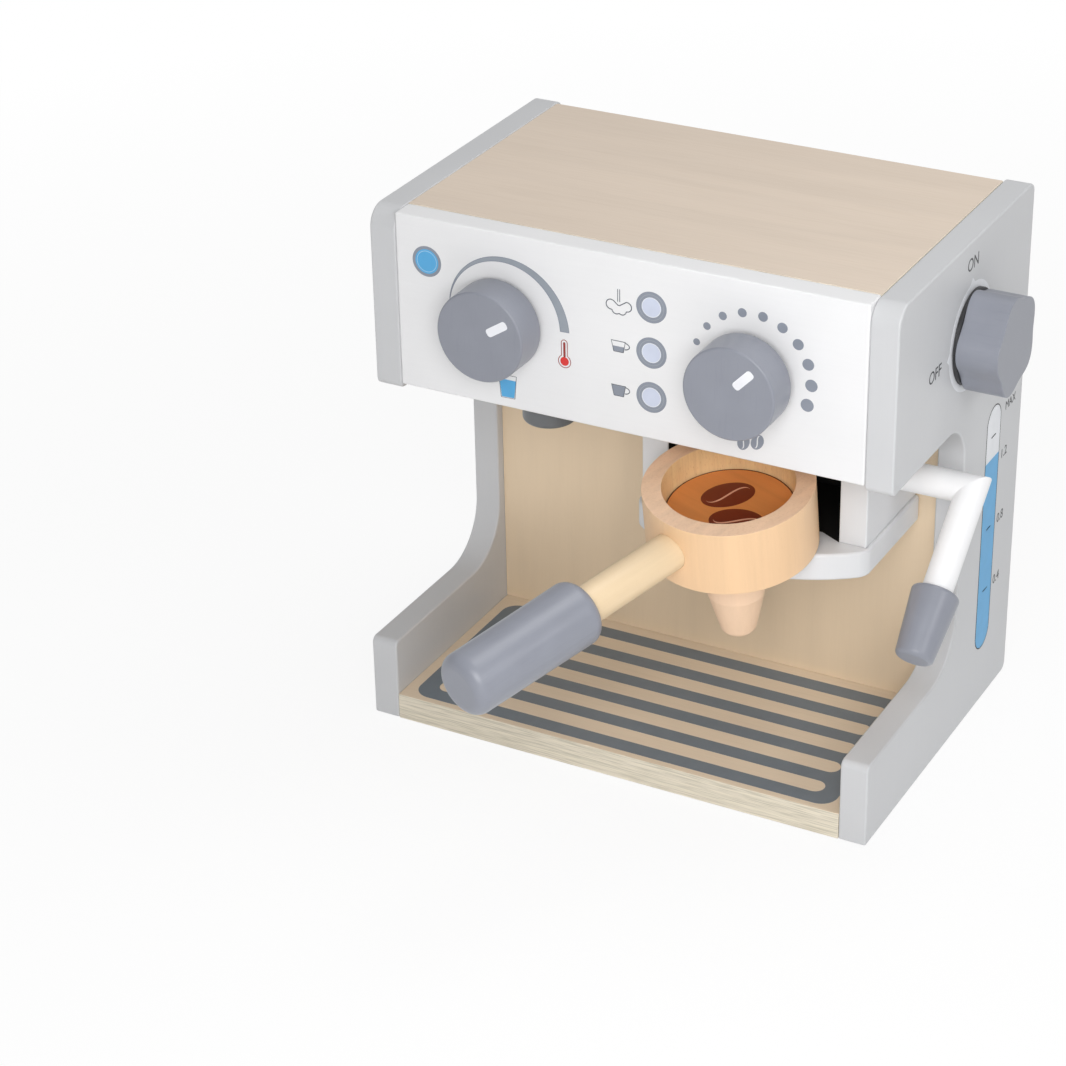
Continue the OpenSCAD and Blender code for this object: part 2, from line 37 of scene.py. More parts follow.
import math

import bmesh
import bpy
from bpy.props import FloatProperty, FloatVectorProperty, PointerProperty
from mathutils import Matrix, Vector

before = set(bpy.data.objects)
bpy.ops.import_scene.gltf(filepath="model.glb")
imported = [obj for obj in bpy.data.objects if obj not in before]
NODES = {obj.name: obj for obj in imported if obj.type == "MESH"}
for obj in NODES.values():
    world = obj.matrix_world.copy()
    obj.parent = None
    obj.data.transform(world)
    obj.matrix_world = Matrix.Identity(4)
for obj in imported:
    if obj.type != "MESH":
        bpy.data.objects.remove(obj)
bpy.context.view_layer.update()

MM = 0.001
TOUCH = 0.05  # places closer than this are the same, in millimetres
THROUGH = 20.0  # deeper than any board is thick, in millimetres
PORE_DEPTH = 0.03 * MM  # relief that paint and lacquer keep of the wood
CAPITAL = 0.7  # a capital letter's share of the font's size


def limits(name):
    """The lowest and highest corners of a node in millimetres."""
    return [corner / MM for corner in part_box(name)]


# Planes of the case in millimetres, read off the solids where a node's box gives them
CASE_LOW, CASE_HIGH = limits("left_side_panel")
CASE_HIGH.x = -CASE_LOW.x
INNER_X = limits("front_panel")[1].x
HEAD_Y = limits("front_panel")[0].y
BASE_TOP = limits("base_board")[1].z
FOOT_H = 37.5
HEAD_UNDER = 151.5
COLUMN_Y = 13.5

# Corners of the side panels: under the head, above the feet, and the outer ones
ARCH_R, SWEEP_R = 20.0, 25.0
BROW_R, REAR_R, NOSE_R = 9.0, 4.0, 3.0

# Dials and power knob
DIAL_X = 55.0
DIAL_Z = 192.0
KNOB_LOW, KNOB_HIGH = limits("power_knob")
KNOB_Y, KNOB_Z = 12.0, 188.5
KNOB_MEAN_R = 20.0
KNOB_WAVE = 1.4
KNOB_LOBES = 5
KNOB_LOBE_ANGLE = 34.0
AXLE_BORE_R = 4.05
KNOB_BORE_R, KNOB_BORE = 4.03, 12.0
POINTER_L, POINTER_W, POINTER_CORNER = 10.4, 3.6, 1.3

# Brew group
GROUP_X = 43.0
PLATE_ARC_R = 78.0
PLATE_ARC_Y = 21.5
PLATE_CORNER = 3.6
PLATE_ROUND = 1.4
SLOT_R = 13.5
SLOT_Y = -23.0
SLOT_REACH = 60.0
WAND_PLACE = (-9.0, 132.3)
WAND_BORE_R, WAND_BORE = 6.3, 7.5
SCREW_BORE_R, SCREW_BORE = 3.8, 2.5

# The cup's own frame: its underside is the plane z = 0, and the handle points to -Y
CUP_PLACE = (GROUP_X, -53.7, 110.576)
CUP_LEAN, HANDLE_TURN = math.radians(9.5), math.radians(-19.5)
CUP_FRAME = (
    Matrix.Translation(CUP_PLACE)
    @ Matrix.Rotation(CUP_LEAN, 4, "X")
    @ Matrix.Rotation(HANDLE_TURN, 4, "Z")
)
CUP_R, CUP_H, CUP_ROUND = 34.75, 28.7, 1.0
HOLLOW_R, HOLLOW_FLOOR = 26.75, 14.0
DISC_TOP = 16.5
HANDLE_Z = 14.6
HANDLE_BORE_R, HANDLE_BORE = 7.93, 6.53
SPOUT_BORE_R, SPOUT_BORE = 5.05, 9.3

# The wand's own frame: its elbow is the origin, the arm lies along -X and the leg along -Z
WAND_X, WAND_TURN = 126.6, math.radians(-49.2)
WAND_FRAME = Matrix.Translation((WAND_X, *WAND_PLACE)) @ Matrix.Rotation(WAND_TURN, 4, "X")
TIP_TOP, TIP_FOOT = -45.0, -74.5
TIP_R, TIP_TAPER = 9.98, 0.775
TIP_ROUND, TIP_EDGE = 2.0, 0.15
TIP_BORE_R, TIP_BORE = 6.28, 12.0

# Widths of the printed lines
LINE, FINE_LINE = 0.4, 0.32

# The camera: its place in millimetres and its turn in degrees about X, Y and Z; its focal length, the
# width of the square frame and the place of the optical axis across it, all in pixels
CAMERA_PLACE = (487.4, -1014.8, 688.2)
CAMERA_TURN = (61.538, 0.8812, 28.121)
FOCAL_LENGTH, FRAME_SIZE, FRAME_MIDDLE = 3000.66, 1066, 558.44

# The floor in metres: its side, and how far it lies under the feet
FLOOR_SIZE, FLOOR_GAP = 8.0, 0.0002


def linear(code):
    """Turns an sRGB hex colour into linear red, green and blue."""
    parts = [int(code[i : i + 2], 16) / 255 for i in (1, 3, 5)]
    return tuple(p / 12.92 if p <= 0.04045 else ((p + 0.055) / 1.055) ** 2.4 for p in parts)


# ---- settings a user would change ----


def shade(name, description, code):
    """A colour setting."""
    return FloatVectorProperty(
        name=name, description=description, default=linear(code), size=3,
        min=0, max=1, subtype="COLOR")


class CaseSettings(bpy.types.PropertyGroup):
    edge_round: FloatProperty(
        name="Edge Rounding", description="Rounding of the boards' sanded edges",
        default=0.9 * MM, min=0.1 * MM, max=2 * MM, unit="LENGTH")
    side_paint: shade("Side Paint", "Colour of the painted side panels and brew group", "#CDCED0")
    front_paint: shade("Front Paint", "Colour of the painted front panel and wand", "#EDEDEE")
    birch: shade("Birch", "Middle tone of the clear lacquered top panel", "#E2D2C1")
    # the back panel's birch is warmer than the top's partly for its veneer and partly as painted warm
    # light bounced between the boards
    warm_birch: shade("Warm Birch", "Middle tone of the warmer veneer of the back panel", "#ECD6B8")


class KnobSettings(bpy.types.PropertyGroup):
    edge_round: FloatProperty(
        name="Rim Rounding", description="Rounding of the rims of the dials and the power knob",
        default=1.0 * MM, min=0.2 * MM, max=3 * MM, unit="LENGTH")
    lacquer: shade("Lacquer", "Colour of the lacquered dials, knob, wand tip and grip", "#8B8E98")


class PortafilterSettings(bpy.types.PropertyGroup):
    beech: shade("Beech", "Middle tone of the turned beech cup and spout", "#EEC89E")
    coffee: shade("Coffee", "Colour of the stained coffee disc", "#DB8D4C")


class PrintSettings(bpy.types.PropertyGroup):
    film: FloatProperty(
        name="Ink Film", description="Thickness of the printed ink over the surface",
        default=0.05 * MM, min=0.01 * MM, max=0.3 * MM, unit="LENGTH")
    grey_ink: shade("Grey Ink", "Colour of the grey rings, dots and pictograms", "#8C929E")
    blue_ink: shade("Blue Ink", "Colour of the lamp, the glass and the water gauge", "#56A9DC")
    grille_ink: shade("Grille Ink", "Colour of the drip grille printed on the base", "#737D86")


class StageSettings(bpy.types.PropertyGroup):
    sky: FloatProperty(
        name="Sky", description="Strength of the even light from all round",
        default=0.42, min=0, max=2)
    key: FloatProperty(
        name="Key Light", description="Power of the soft lamp at the front, in watts",
        default=2.75, min=0, max=100)
    side: FloatProperty(
        name="Side Light", description="Power of the soft lamp at the right, in watts",
        default=0.9, min=0, max=100)
    top: FloatProperty(
        name="Top Light", description="Power of the soft lamp overhead, in watts",
        default=3.4, min=0, max=100)


class CoffeeMakerSettings(bpy.types.PropertyGroup):
    case: PointerProperty(type=CaseSettings)
    knobs: PointerProperty(type=KnobSettings)
    portafilter: PointerProperty(type=PortafilterSettings)
    prints: PointerProperty(type=PrintSettings)
    stage: PointerProperty(type=StageSettings)


# ---- modelling ----


def pick(*objs):
    """Selects only these objects; the last one, if any, is active."""
    for obj in list(bpy.context.selected_objects):
        obj.select_set(False)
    for obj in objs:
        obj.select_set(True)
        bpy.context.view_layer.objects.active = obj


def placed(name, matrix=None):
    """Names the active object and moves its place, a matrix in millimetres, into its mesh."""
    obj = bpy.context.active_object
    obj.name = obj.data.name = name
    pick(obj)
    if matrix is not None:
        loc, rot, _ = matrix.decompose()
        obj.matrix_world = Matrix.LocRotScale(loc * MM, rot, None) @ obj.matrix_world
    bpy.ops.object.transform_apply(location=True, rotation=True, scale=True)
    return obj


def choose(kind, test):
    """In edit mode, selects what passes a test of its middle in millimetres and its normal or way."""
    bpy.ops.mesh.select_mode(type=kind)
    bpy.ops.mesh.select_all(action="DESELECT")
    data = bpy.context.edit_object.data
    mesh = bmesh.from_edit_mesh(data)
    if kind == "VERT":
        parts = [(v, v.co, v.normal) for v in mesh.verts]
    elif kind == "EDGE":
        ends = [(e, e.verts[0].co, e.verts[1].co) for e in mesh.edges]
        parts = [(e, (a + b) / 2, (b - a).normalized()) for e, a, b in ends]
    else:
        parts = [(f, f.calc_center_median(), f.normal) for f in mesh.faces]
    found = [part for part, middle, way in parts if test(middle / MM, way)]
    if not found:
        raise RuntimeError(f"nothing to choose on {bpy.context.edit_object.name}")
    for part in found:
        part.select = True
    mesh.select_flush_mode()
    bmesh.update_edit_mesh(data)


def edit(obj):
    """Opens one object in edit mode with everything selected."""
    pick(obj)
    bpy.ops.object.mode_set(mode="EDIT")
    bpy.ops.mesh.select_all(action="SELECT")


def done():
    """Closes edit mode with the normals pointing outwards."""
    bpy.ops.mesh.select_all(action="SELECT")
    bpy.ops.mesh.normals_make_consistent(inside=False)
    bpy.ops.object.mode_set(mode="OBJECT")


def near(a, b, tolerance=TOUCH):
    """Whether two places agree, in millimetres."""
    return abs(a - b) < tolerance


def board(name, low, high):
    """A rectangular board between two corners in millimetres."""
    low, high = Vector(low), Vector(high)
    pick()
    bpy.ops.mesh.primitive_cube_add(size=1, location=(low + high) / 2 * MM)
    bpy.context.active_object.scale = (high - low) * MM
    return placed(name)


def rod(name, centre, axis, radius, length, vertices=48):
    """A round bar about a centre in millimetres, along an axis."""
    pick()
    bpy.ops.mesh.primitive_cylinder_add(
        vertices=vertices, radius=radius * MM, depth=length * MM, location=Vector(centre) * MM,
        rotation=Vector(axis).to_track_quat("Z", "Y").to_euler())
    return placed(name)


def cut_away(obj, cutter):
    """Takes the cutter's shape off the object and removes the cutter."""
    cut = obj.modifiers.new("cut", "BOOLEAN")
    cut.operation, cut.solver, cut.object = "DIFFERENCE", "EXACT", cutter
    pick(obj)
    bpy.ops.object.modifier_apply(modifier=cut.name)
    bpy.data.objects.remove(cutter)


def bored(obj, mouth, axis, radius, depth):
    """Cuts a round bore to a depth on both sides of its mouth, in millimetres."""
    cut_away(obj, rod("cutter", mouth, axis, radius, 2 * depth))


def soften(obj, width, angle=50, segments=3):
    """Rounds every edge sharper than the angle, as sandpaper does, and shades the surface smooth."""
    pick(obj)
    bevel = obj.modifiers.new("soften", "BEVEL")
    bevel.width, bevel.segments = width, segments
    bevel.limit_method, bevel.angle_limit = "ANGLE", math.radians(angle)
    bpy.ops.object.modifier_apply(modifier=bevel.name)
    bpy.ops.object.shade_smooth_by_angle(angle=math.radians(35))
    even = obj.modifiers.new("even", "WEIGHTED_NORMAL")
    even.keep_sharp = True
    bpy.ops.object.modifier_apply(modifier=even.name)


def second_coat(obj, material, test):
    """Gives the faces that pass a test another material."""
    obj.data.materials.append(material)
    edit(obj)
    choose("FACE", test)
    obj.active_material_index = len(obj.data.materials) - 1
    bpy.ops.object.material_slot_assign()
    bpy.ops.object.mode_set(mode="OBJECT")


def dress(obj, body, material, slot, *nodes):
    """Gives a piece its material, its body and the nodes that it stands for."""
    obj.data.materials.clear()
    obj.data.materials.append(material)
    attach(obj, body)
    if nodes:
        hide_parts(*nodes)


def finish_node(name, material):
    """Gives a node that keeps its own shape a better material."""
    mesh = NODES[name].data
    for i in range(len(mesh.materials)):
        mesh.materials[i] = material


# ---- materials ----

# A noise's Scale counts its grains in a metre: 700 draws them 1.4 mm wide, and 22 draws them 45 mm.
# A Mix node with these settings darkens one colour by another.
MULTIPLY = {"data_type": "RGBA", "blend_type": "MULTIPLY"}


def put(tree, kind, inputs=None, stops=(), **settings):
    """Adds a node with its settings. An input takes a value, a socket, or a node, of which it reads
    the first output in use."""
    made = tree.nodes.new("ShaderNode" + kind)
    for key, value in settings.items():
        setattr(made, key, value)
    for key, value in (inputs or {}).items():
        if isinstance(value, bpy.types.Node):
            value = next(socket for socket in value.outputs if socket.enabled)
        if isinstance(value, bpy.types.NodeSocket):
            tree.links.new(value, made.inputs[key])
        else:
            made.inputs[key].default_value = value
    for i, (position, colour) in enumerate(stops):
        elements = made.color_ramp.elements
        if i >= len(elements):
            elements.new(1.0)
        elements[i].position, elements[i].color = position, (*colour, 1.0)
    return made


def new_finish(name):
    """An empty material: the material, its tree, and the place of a point on the piece in metres."""
    material = bpy.data.materials.new(name)
    material.use_nodes = True
    tree = material.node_tree
    tree.nodes.clear()
    return material, tree, put(tree, "TexCoord")


def surface(tree, inputs):
    """Closes a material with its shader."""
    put(tree, "OutputMaterial", {"Surface": put(tree, "BsdfPrincipled", inputs)})


def tone(colour, factor):
    """A colour made darker or lighter."""
    return tuple(min(1.0, c * factor) for c in colour)


def spread(grain, along, across):
    """Mapping scale for a pattern drawn out along the grain; both sizes in millimetres."""
    return tuple(1000 / (along if axis == grain else across) for axis in "XYZ")


def turned_place(tree, place, seat):
    """Places on a turned piece, measured in the piece's own frame, which is given in millimetres."""
    return put(tree, "Mapping", {
        "Vector": place.outputs["Object"], "Location": seat.to_translation() * MM,
        "Rotation": seat.to_euler()}, vector_type="TEXTURE")


def wood_grain(tree, vector, grain, colour, figure, fine, contrast, streak):
    """Broad figure under fine streaks, both drawn out along the grain; the colour and the streaks."""
    broad = put(tree, "TexNoise", {
        "Vector": put(tree, "Mapping", {"Vector": vector, "Scale": spread(grain, *figure)}),
        "Scale": 1.0, "Detail": 3.0, "Roughness": 0.5, "Distortion": 0.5})
    shades = put(tree, "ValToRGB", {"Fac": broad}, stops=[
        (0.3, tone(colour, 1 - contrast)), (0.72, tone(colour, 1 + 0.7 * contrast))])
    lines = put(tree, "TexNoise", {
        "Vector": put(tree, "Mapping", {"Vector": vector, "Scale": spread(grain, *fine)}),
        "Scale": 1.0, "Detail": 4.0, "Roughness": 0.65})
    streaks = put(tree, "ValToRGB", {"Fac": lines}, stops=[
        (0.32, (1 - streak, 1 - 1.2 * streak, 1 - 1.5 * streak)), (0.56, (1.0, 1.0, 1.0))])
    mixed = put(tree, "Mix", {0: 1.0, 6: shades, 7: streaks}, **MULTIPLY)
    return mixed, lines


def facing(tree, place, axis):
    """1 where the surface faces along an axis of the piece, 0 where it stands across it."""
    along = put(tree, "VectorMath", {0: place.outputs["Normal"], 1: axis}, operation="DOT_PRODUCT")
    size = put(tree, "Math", {0: along}, operation="ABSOLUTE")
    return put(tree, "MapRange", {"Value": size, "From Min": 0.55, "From Max": 0.85})


def satin_paint(name, colour, grain="Z", roughness=0.42):
    """Acrylic paint sprayed on sanded birch plywood: an even satin coat with a faint orange peel, in
    which the grain below still shows as long shallow ripples, with hardly any change of colour."""
    material, tree, place = new_finish(name)
    vector = place.outputs["Object"]
    peel = put(tree, "TexNoise", {"Vector": vector, "Scale": 700.0, "Detail": 2.0})
    ripple = put(tree, "TexNoise", {
        "Vector": put(tree, "Mapping", {"Vector": vector, "Scale": spread(grain, 30, 1.1)}),
        "Scale": 1.0, "Detail": 3.0})
    cloud = put(tree, "TexNoise", {"Vector": vector, "Scale": 22.0, "Detail": 2.0})
    shades = put(tree, "ValToRGB", {"Fac": cloud}, stops=[
        (0.3, tone(colour, 0.98)), (0.7, tone(colour, 1.01))])
    lines = put(tree, "ValToRGB", {"Fac": ripple}, stops=[
        (0.35, (0.993, 0.993, 0.993)), (0.6, (1, 1, 1))])
    height = put(tree, "Math", {0: ripple, 1: 1.6, 2: peel}, operation="MULTIPLY_ADD")
    surface(tree, {
        "Base Color": put(tree, "Mix", {0: 1.0, 6: shades, 7: lines}, **MULTIPLY),
        "Roughness": put(tree, "MapRange", {
            "Value": cloud, "To Min": roughness - 0.04, "To Max": roughness + 0.05}),
        "IOR": 1.48,
        "Normal": put(tree, "Bump", {"Height": height, "Strength": 0.14, "Distance": PORE_DEPTH})})
    return material


def birch_board(name, colour, grain, thick, edge, streak=0.035):
    """Rotary cut birch plywood under clear satin lacquer: a pale face with soft broad figure and fine
    streaks, and edges that show the 1.5 mm layers, long grain and end grain by turns, with thin glue
    lines. The grain and the thickness each lie along one axis."""
    ply, waver = 1.5, 0.6 * MM
    material, tree, place = new_finish(name)
    vector = place.outputs["Object"]
    face, height = wood_grain(tree, vector, grain, colour, (150, 17), (24, 0.9), 0.04, streak)
    across = put(tree, "SeparateXYZ", {"Vector": vector}).outputs[thick]
    wobble = put(tree, "TexNoise", {"Vector": vector, "Scale": 60.0, "Detail": 1.0})
    lift = put(tree, "Math", {0: wobble, 1: waver, 2: across}, operation="MULTIPLY_ADD")
    # the count of layer pairs below a point; the 50 added keeps it above zero
    turns = put(tree, "Math", {0: lift, 1: 1000 / (2 * ply), 2: 50.0}, operation="MULTIPLY_ADD")
    part = put(tree, "Math", {0: turns}, operation="FRACT")
    layers = put(tree, "ValToRGB", {"Fac": part}, stops=[
        (0.0, tone(edge, 0.90)), (0.05, tone(edge, 1.03)), (0.46, tone(edge, 1.05)),
        (0.5, tone(edge, 0.88)), (0.55, tone(edge, 0.97)), (0.96, tone(edge, 1.0))])
    # the cut ends of the fibres, drawn 0.4 mm high and 14 mm long so that they show
    fibre = put(tree, "TexNoise", {
        "Vector": put(tree, "Mapping", {"Vector": vector, "Scale": spread(grain, 14, 0.4)}),
        "Scale": 1.0, "Detail": 2.0})
    fibres = put(tree, "ValToRGB", {"Fac": fibre}, stops=[
        (0.36, (0.74, 0.74, 0.72)), (0.56, (1, 1, 1))])
    side = put(tree, "Mix", {0: 1.0, 6: layers, 7: fibres}, **MULTIPLY)
    axis = tuple(1.0 if a == thick else 0.0 for a in "XYZ")
    surface(tree, {
        "Base Color": put(
            tree, "Mix", {0: facing(tree, place, axis), 6: side, 7: face}, data_type="RGBA"),
        "Roughness": put(tree, "MapRange", {"Value": height, "To Min": 0.56, "To Max": 0.46}),
        "IOR": 1.5,
        "Normal": put(tree, "Bump", {"Height": height, "Strength": 0.25, "Distance": PORE_DEPTH})})
    return material


def turned_wood(
        name, colour, seat=Matrix(), grain="Z", end=None, contrast=0.04, fleck=0.1, streak=0.015):
    """Steamed beech, turned, sanded and lacquered: streaks and short dark ray flecks along the grain,
    and a darker, finely speckled end grain with faint growth rings."""
    material, tree, place = new_finish(name)
    vector = turned_place(tree, place, seat)
    end = end or tone(colour, 0.84)
    side, height = wood_grain(tree, vector, grain, colour, (90, 6.5), (28, 0.8), contrast, streak)
    # ray flecks, drawn 0.5 mm wide so that they show
    rays = put(tree, "TexNoise", {
        "Vector": put(tree, "Mapping", {"Vector": vector, "Scale": spread(grain, 2.6, 0.5)}),
        "Scale": 1.0, "Detail": 1.0})
    flecks = put(tree, "ValToRGB", {"Fac": rays}, stops=[
        (0.27, (0.80, 0.72, 0.62)), (0.36, (1, 1, 1))])
    side = put(tree, "Mix", {0: fleck, 6: side, 7: flecks}, **MULTIPLY)
    rings = put(tree, "TexNoise", {
        "Vector": put(tree, "Mapping", {
            "Vector": vector, "Scale": (260, 60, 260), "Location": (3.0, 1.0, 0)}),
        "Scale": 1.0, "Detail": 3.0, "Distortion": 0.3})
    ring_tones = put(tree, "ValToRGB", {"Fac": rings}, stops=[
        (0.35, tone(end, 0.94)), (0.65, tone(end, 1.04))])
    pore = put(tree, "TexNoise", {"Vector": vector, "Scale": 1200.0, "Detail": 2.0})
    pores = put(tree, "ValToRGB", {"Fac": pore}, stops=[
        (0.3, (0.90, 0.84, 0.80)), (0.5, (1.0, 0.98, 0.97))])
    cut = put(tree, "Mix", {0: 0.6, 6: ring_tones, 7: pores}, **MULTIPLY)
    axis = seat.to_3x3() @ Vector([1.0 if a == grain else 0.0 for a in "XYZ"])
    surface(tree, {
        "Base Color": put(
            tree, "Mix", {0: facing(tree, place, axis), 6: side, 7: cut}, data_type="RGBA"),
        "Roughness": put(tree, "MapRange", {"Value": height, "To Min": 0.47, "To Max": 0.36}),
        "IOR": 1.5,
        "Normal": put(tree, "Bump", {"Height": height, "Strength": 0.2, "Distance": PORE_DEPTH})})
    return material


def knob_lacquer(name, colour, seat=Matrix(), grain="Z", roughness=0.34):
    """Pigmented satin lacquer, dipped over turned beech: a smooth grey coat with soft highlights, in
    which the pores of the wood leave fine shallow lines along the grain."""
    material, tree, place = new_finish(name)
    vector = turned_place(tree, place, seat)
    # pores, drawn 1.2 mm wide so that they show
    pore = put(tree, "TexNoise", {
        "Vector": put(tree, "Mapping", {"Vector": vector, "Scale": spread(grain, 12, 1.2)}),
        "Scale": 1.0, "Detail": 1.0})
    cloud = put(tree, "TexNoise", {"Vector": vector, "Scale": 70.0, "Detail": 3.0})
    shades = put(tree, "ValToRGB", {"Fac": cloud}, stops=[
        (0.3, tone(colour, 0.97)), (0.7, tone(colour, 1.025))])
    lines = put(tree, "ValToRGB", {"Fac": pore}, stops=[
        (0.28, (0.97, 0.97, 0.975)), (0.42, (1, 1, 1))])
    surface(tree, {
        "Base Color": put(tree, "Mix", {0: 1.0, 6: shades, 7: lines}, **MULTIPLY),
        "Roughness": put(tree, "MapRange", {
            "Value": cloud, "To Min": roughness - 0.04, "To Max": roughness + 0.06}),
        "IOR": 1.5,
        "Normal": put(tree, "Bump", {"Height": pore, "Strength": 0.1, "Distance": PORE_DEPTH})})
    return material


def screen_ink(name, colour):
    """Screen printed ink: a thin satin film, slightly uneven where the mesh laid it down."""
    material, tree, place = new_finish(name)
    vector = place.outputs["Object"]
    cloud = put(tree, "TexNoise", {"Vector": vector, "Scale": 160.0, "Detail": 3.0})
    mesh_marks = put(tree, "TexNoise", {"Vector": vector, "Scale": 1400.0, "Detail": 1.0})
    surface(tree, {
        "Base Color": put(tree, "ValToRGB", {"Fac": cloud}, stops=[
            (0.3, tone(colour, 0.96)), (0.7, tone(colour, 1.03))]),
        "Roughness": 0.42,
        "IOR": 1.5,
        "Normal": put(tree, "Bump", {"Height": mesh_marks, "Strength": 0.15, "Distance": 0.01 * MM})})
    return material


def zinc_steel(name):
    """Zinc plated steel, as on wood screws: bright, slightly blue and brushed by tumbling."""
    material, tree, place = new_finish(name)
    cloud = put(tree, "TexNoise", {"Vector": place.outputs["Object"], "Scale": 900.0, "Detail": 3.0})
    surface(tree, {
        "Base Color": put(tree, "ValToRGB", {"Fac": cloud}, stops=[
            (0.3, linear("#A9ACB0")), (0.7, linear("#C6C9CC"))]),
        "Metallic": 1.0,
        "Roughness": put(tree, "MapRange", {"Value": cloud, "To Min": 0.3, "To Max": 0.42})})
    return material


# ---- flat prints ----


def round_dot(u, v, r, steps=48):
    """A circle as a loop of points."""
    turns = (i * math.tau / steps for i in range(steps))
    return [(u + r * math.cos(a), v + r * math.sin(a)) for a in turns]


def ring(u, v, outer, inner, steps=72):
    """A ring as two loops."""
    return [round_dot(u, v, outer, steps), round_dot(u, v, inner, steps)]


def rounded_bar(u, v, length, width, degrees=0.0, corner=None):
    """A bar with rounded corners, turned about its middle."""
    steps = 10
    corner = width / 2 if corner is None else corner
    c, s = math.cos(math.radians(degrees)), math.sin(math.radians(degrees))
    points = []
    for k, (x, y) in enumerate(((1, 1), (-1, 1), (-1, -1), (1, -1))):
        cx, cy = x * (length / 2 - corner), y * (width / 2 - corner)
        for i in range(steps + 1):
            a = math.radians(90 * k + 90 * i / steps)
            points.append((cx + corner * math.cos(a), cy + corner * math.sin(a)))
    return [(u + c * x - s * y, v + s * x + c * y) for x, y in points]


def arc_band(u, v, start, end, inner, outer):
    """A band round a centre between two angles; each radius is a function of the way, 0 to 1."""
    steps = 90
    out, back = [], []
    for i in range(steps + 1):
        t = i / steps
        a = math.radians(start + (end - start) * t)
        c, s = math.cos(a), math.sin(a)
        out.append((u + outer(t) * c, v + outer(t) * s))
        back.append((u + inner(t) * c, v + inner(t) * s))
    return out + back[::-1]


def stroke(points, width, closed=False):
    """The outline of a line drawn through points: one loop, or two where the line is closed."""
    count = len(points)
    left, right = [], []
    for i, (x, y) in enumerate(points):
        x0, y0 = points[(i - 1) % count] if closed or i else points[i]
        x1, y1 = points[(i + 1) % count] if closed or i < count - 1 else points[i]
        size = math.hypot(x1 - x0, y1 - y0)
        nx, ny = -(y1 - y0) / size * width / 2, (x1 - x0) / size * width / 2
        left.append((x + nx, y + ny))
        right.append((x - nx, y - ny))
    return [left, right] if closed else [left + right[::-1]]


def ink_print(name, body, material, slot, loops, plane, film):
    """A thin printed film: loops in millimetres on a plane whose +Z points out of the surface."""
    curve = bpy.data.curves.new(name, "CURVE")
    curve.dimensions, curve.fill_mode = "2D", "BOTH"
    curve.extrude = film
    for loop in loops:
        spline = curve.splines.new("POLY")
        spline.points.add(len(loop) - 1)
        spline.points.foreach_set("co", [c for u, v in loop for c in (u * MM, v * MM, 0.0, 1.0)])
        spline.use_cyclic_u = True
    obj = bpy.data.objects.new(name, curve)
    bpy.context.scene.collection.objects.link(obj)
    as_film(obj, name, body, material, slot, plane)


def ink_text(name, body, material, slot, words, u, v, height, plane, film):
    """Printed words centred on a point; height is that of a capital letter in millimetres."""
    pick()
    bpy.ops.object.text_add()
    obj = bpy.context.active_object
    obj.data.body = words
    obj.data.align_x, obj.data.align_y = "CENTER", "CENTER"
    obj.data.size = height * MM / CAPITAL
    obj.data.extrude = film
    as_film(obj, name, body, material, slot, plane @ Matrix.Translation((u, v, 0)))


def as_film(obj, name, body, material, slot, plane):
    """Makes a flat curve or text a mesh, puts it on its plane and lets it ride on its body."""
    pick(obj)
    bpy.ops.object.convert(target="MESH")
    film = placed(name, plane)
    edit(film)
    bpy.ops.mesh.remove_doubles(threshold=0.001 * MM)
    done()
    dress(film, body, material, slot)


def facing_plane(origin, right, up):
    """A plane through an origin with its own right and up; its +Z points out of the surface."""
    right, up = Vector(right), Vector(up)
    turn = Matrix((right, up, right.cross(up))).transposed().to_4x4()
    return Matrix.Translation(origin) @ turn


FRONT_PLANE = facing_plane((0, HEAD_Y, 0), (1, 0, 0), (0, 0, 1))
SIDE_PLANE = facing_plane((CASE_HIGH.x, 0, 0), (0, 1, 0), (0, 0, 1))
BASE_PLANE = facing_plane((0, 0, BASE_TOP), (1, 0, 0), (0, 1, 0))
DISC_PLANE = CUP_FRAME @ Matrix.Translation((0, 0, DISC_TOP))


def coffee_bean(u, v, angle, length, width, slit):
    """A coffee bean: the loop of its rim and the loop of its wavy slit, which tapers to both ends."""
    c, s = math.cos(math.radians(angle)), math.sin(math.radians(angle))
    rim = [(length / 2 * x, width / 2 * y) for x, y in round_dot(0, 0, 1, 72)]
    upper, lower = [], []
    for i in range(41):
        t = math.pi / 2 * (i / 20 - 1)
        middle, half = 0.15 * width * math.sin(2 * t), slit * (0.08 + 0.92 * math.cos(t))
        upper.append((0.42 * length * math.sin(t), middle + half))
        lower.append((0.42 * length * math.sin(t), middle - half))
    slit_loop = upper + lower[::-1]
    return [[(u + c * x - s * y, v + s * x + c * y) for x, y in loop] for loop in (rim, slit_loop)]


# ---- operators ----


class CoffeeStep:
    """What every step of the coffee maker shares."""

    bl_options = {"REGISTER", "UNDO"}


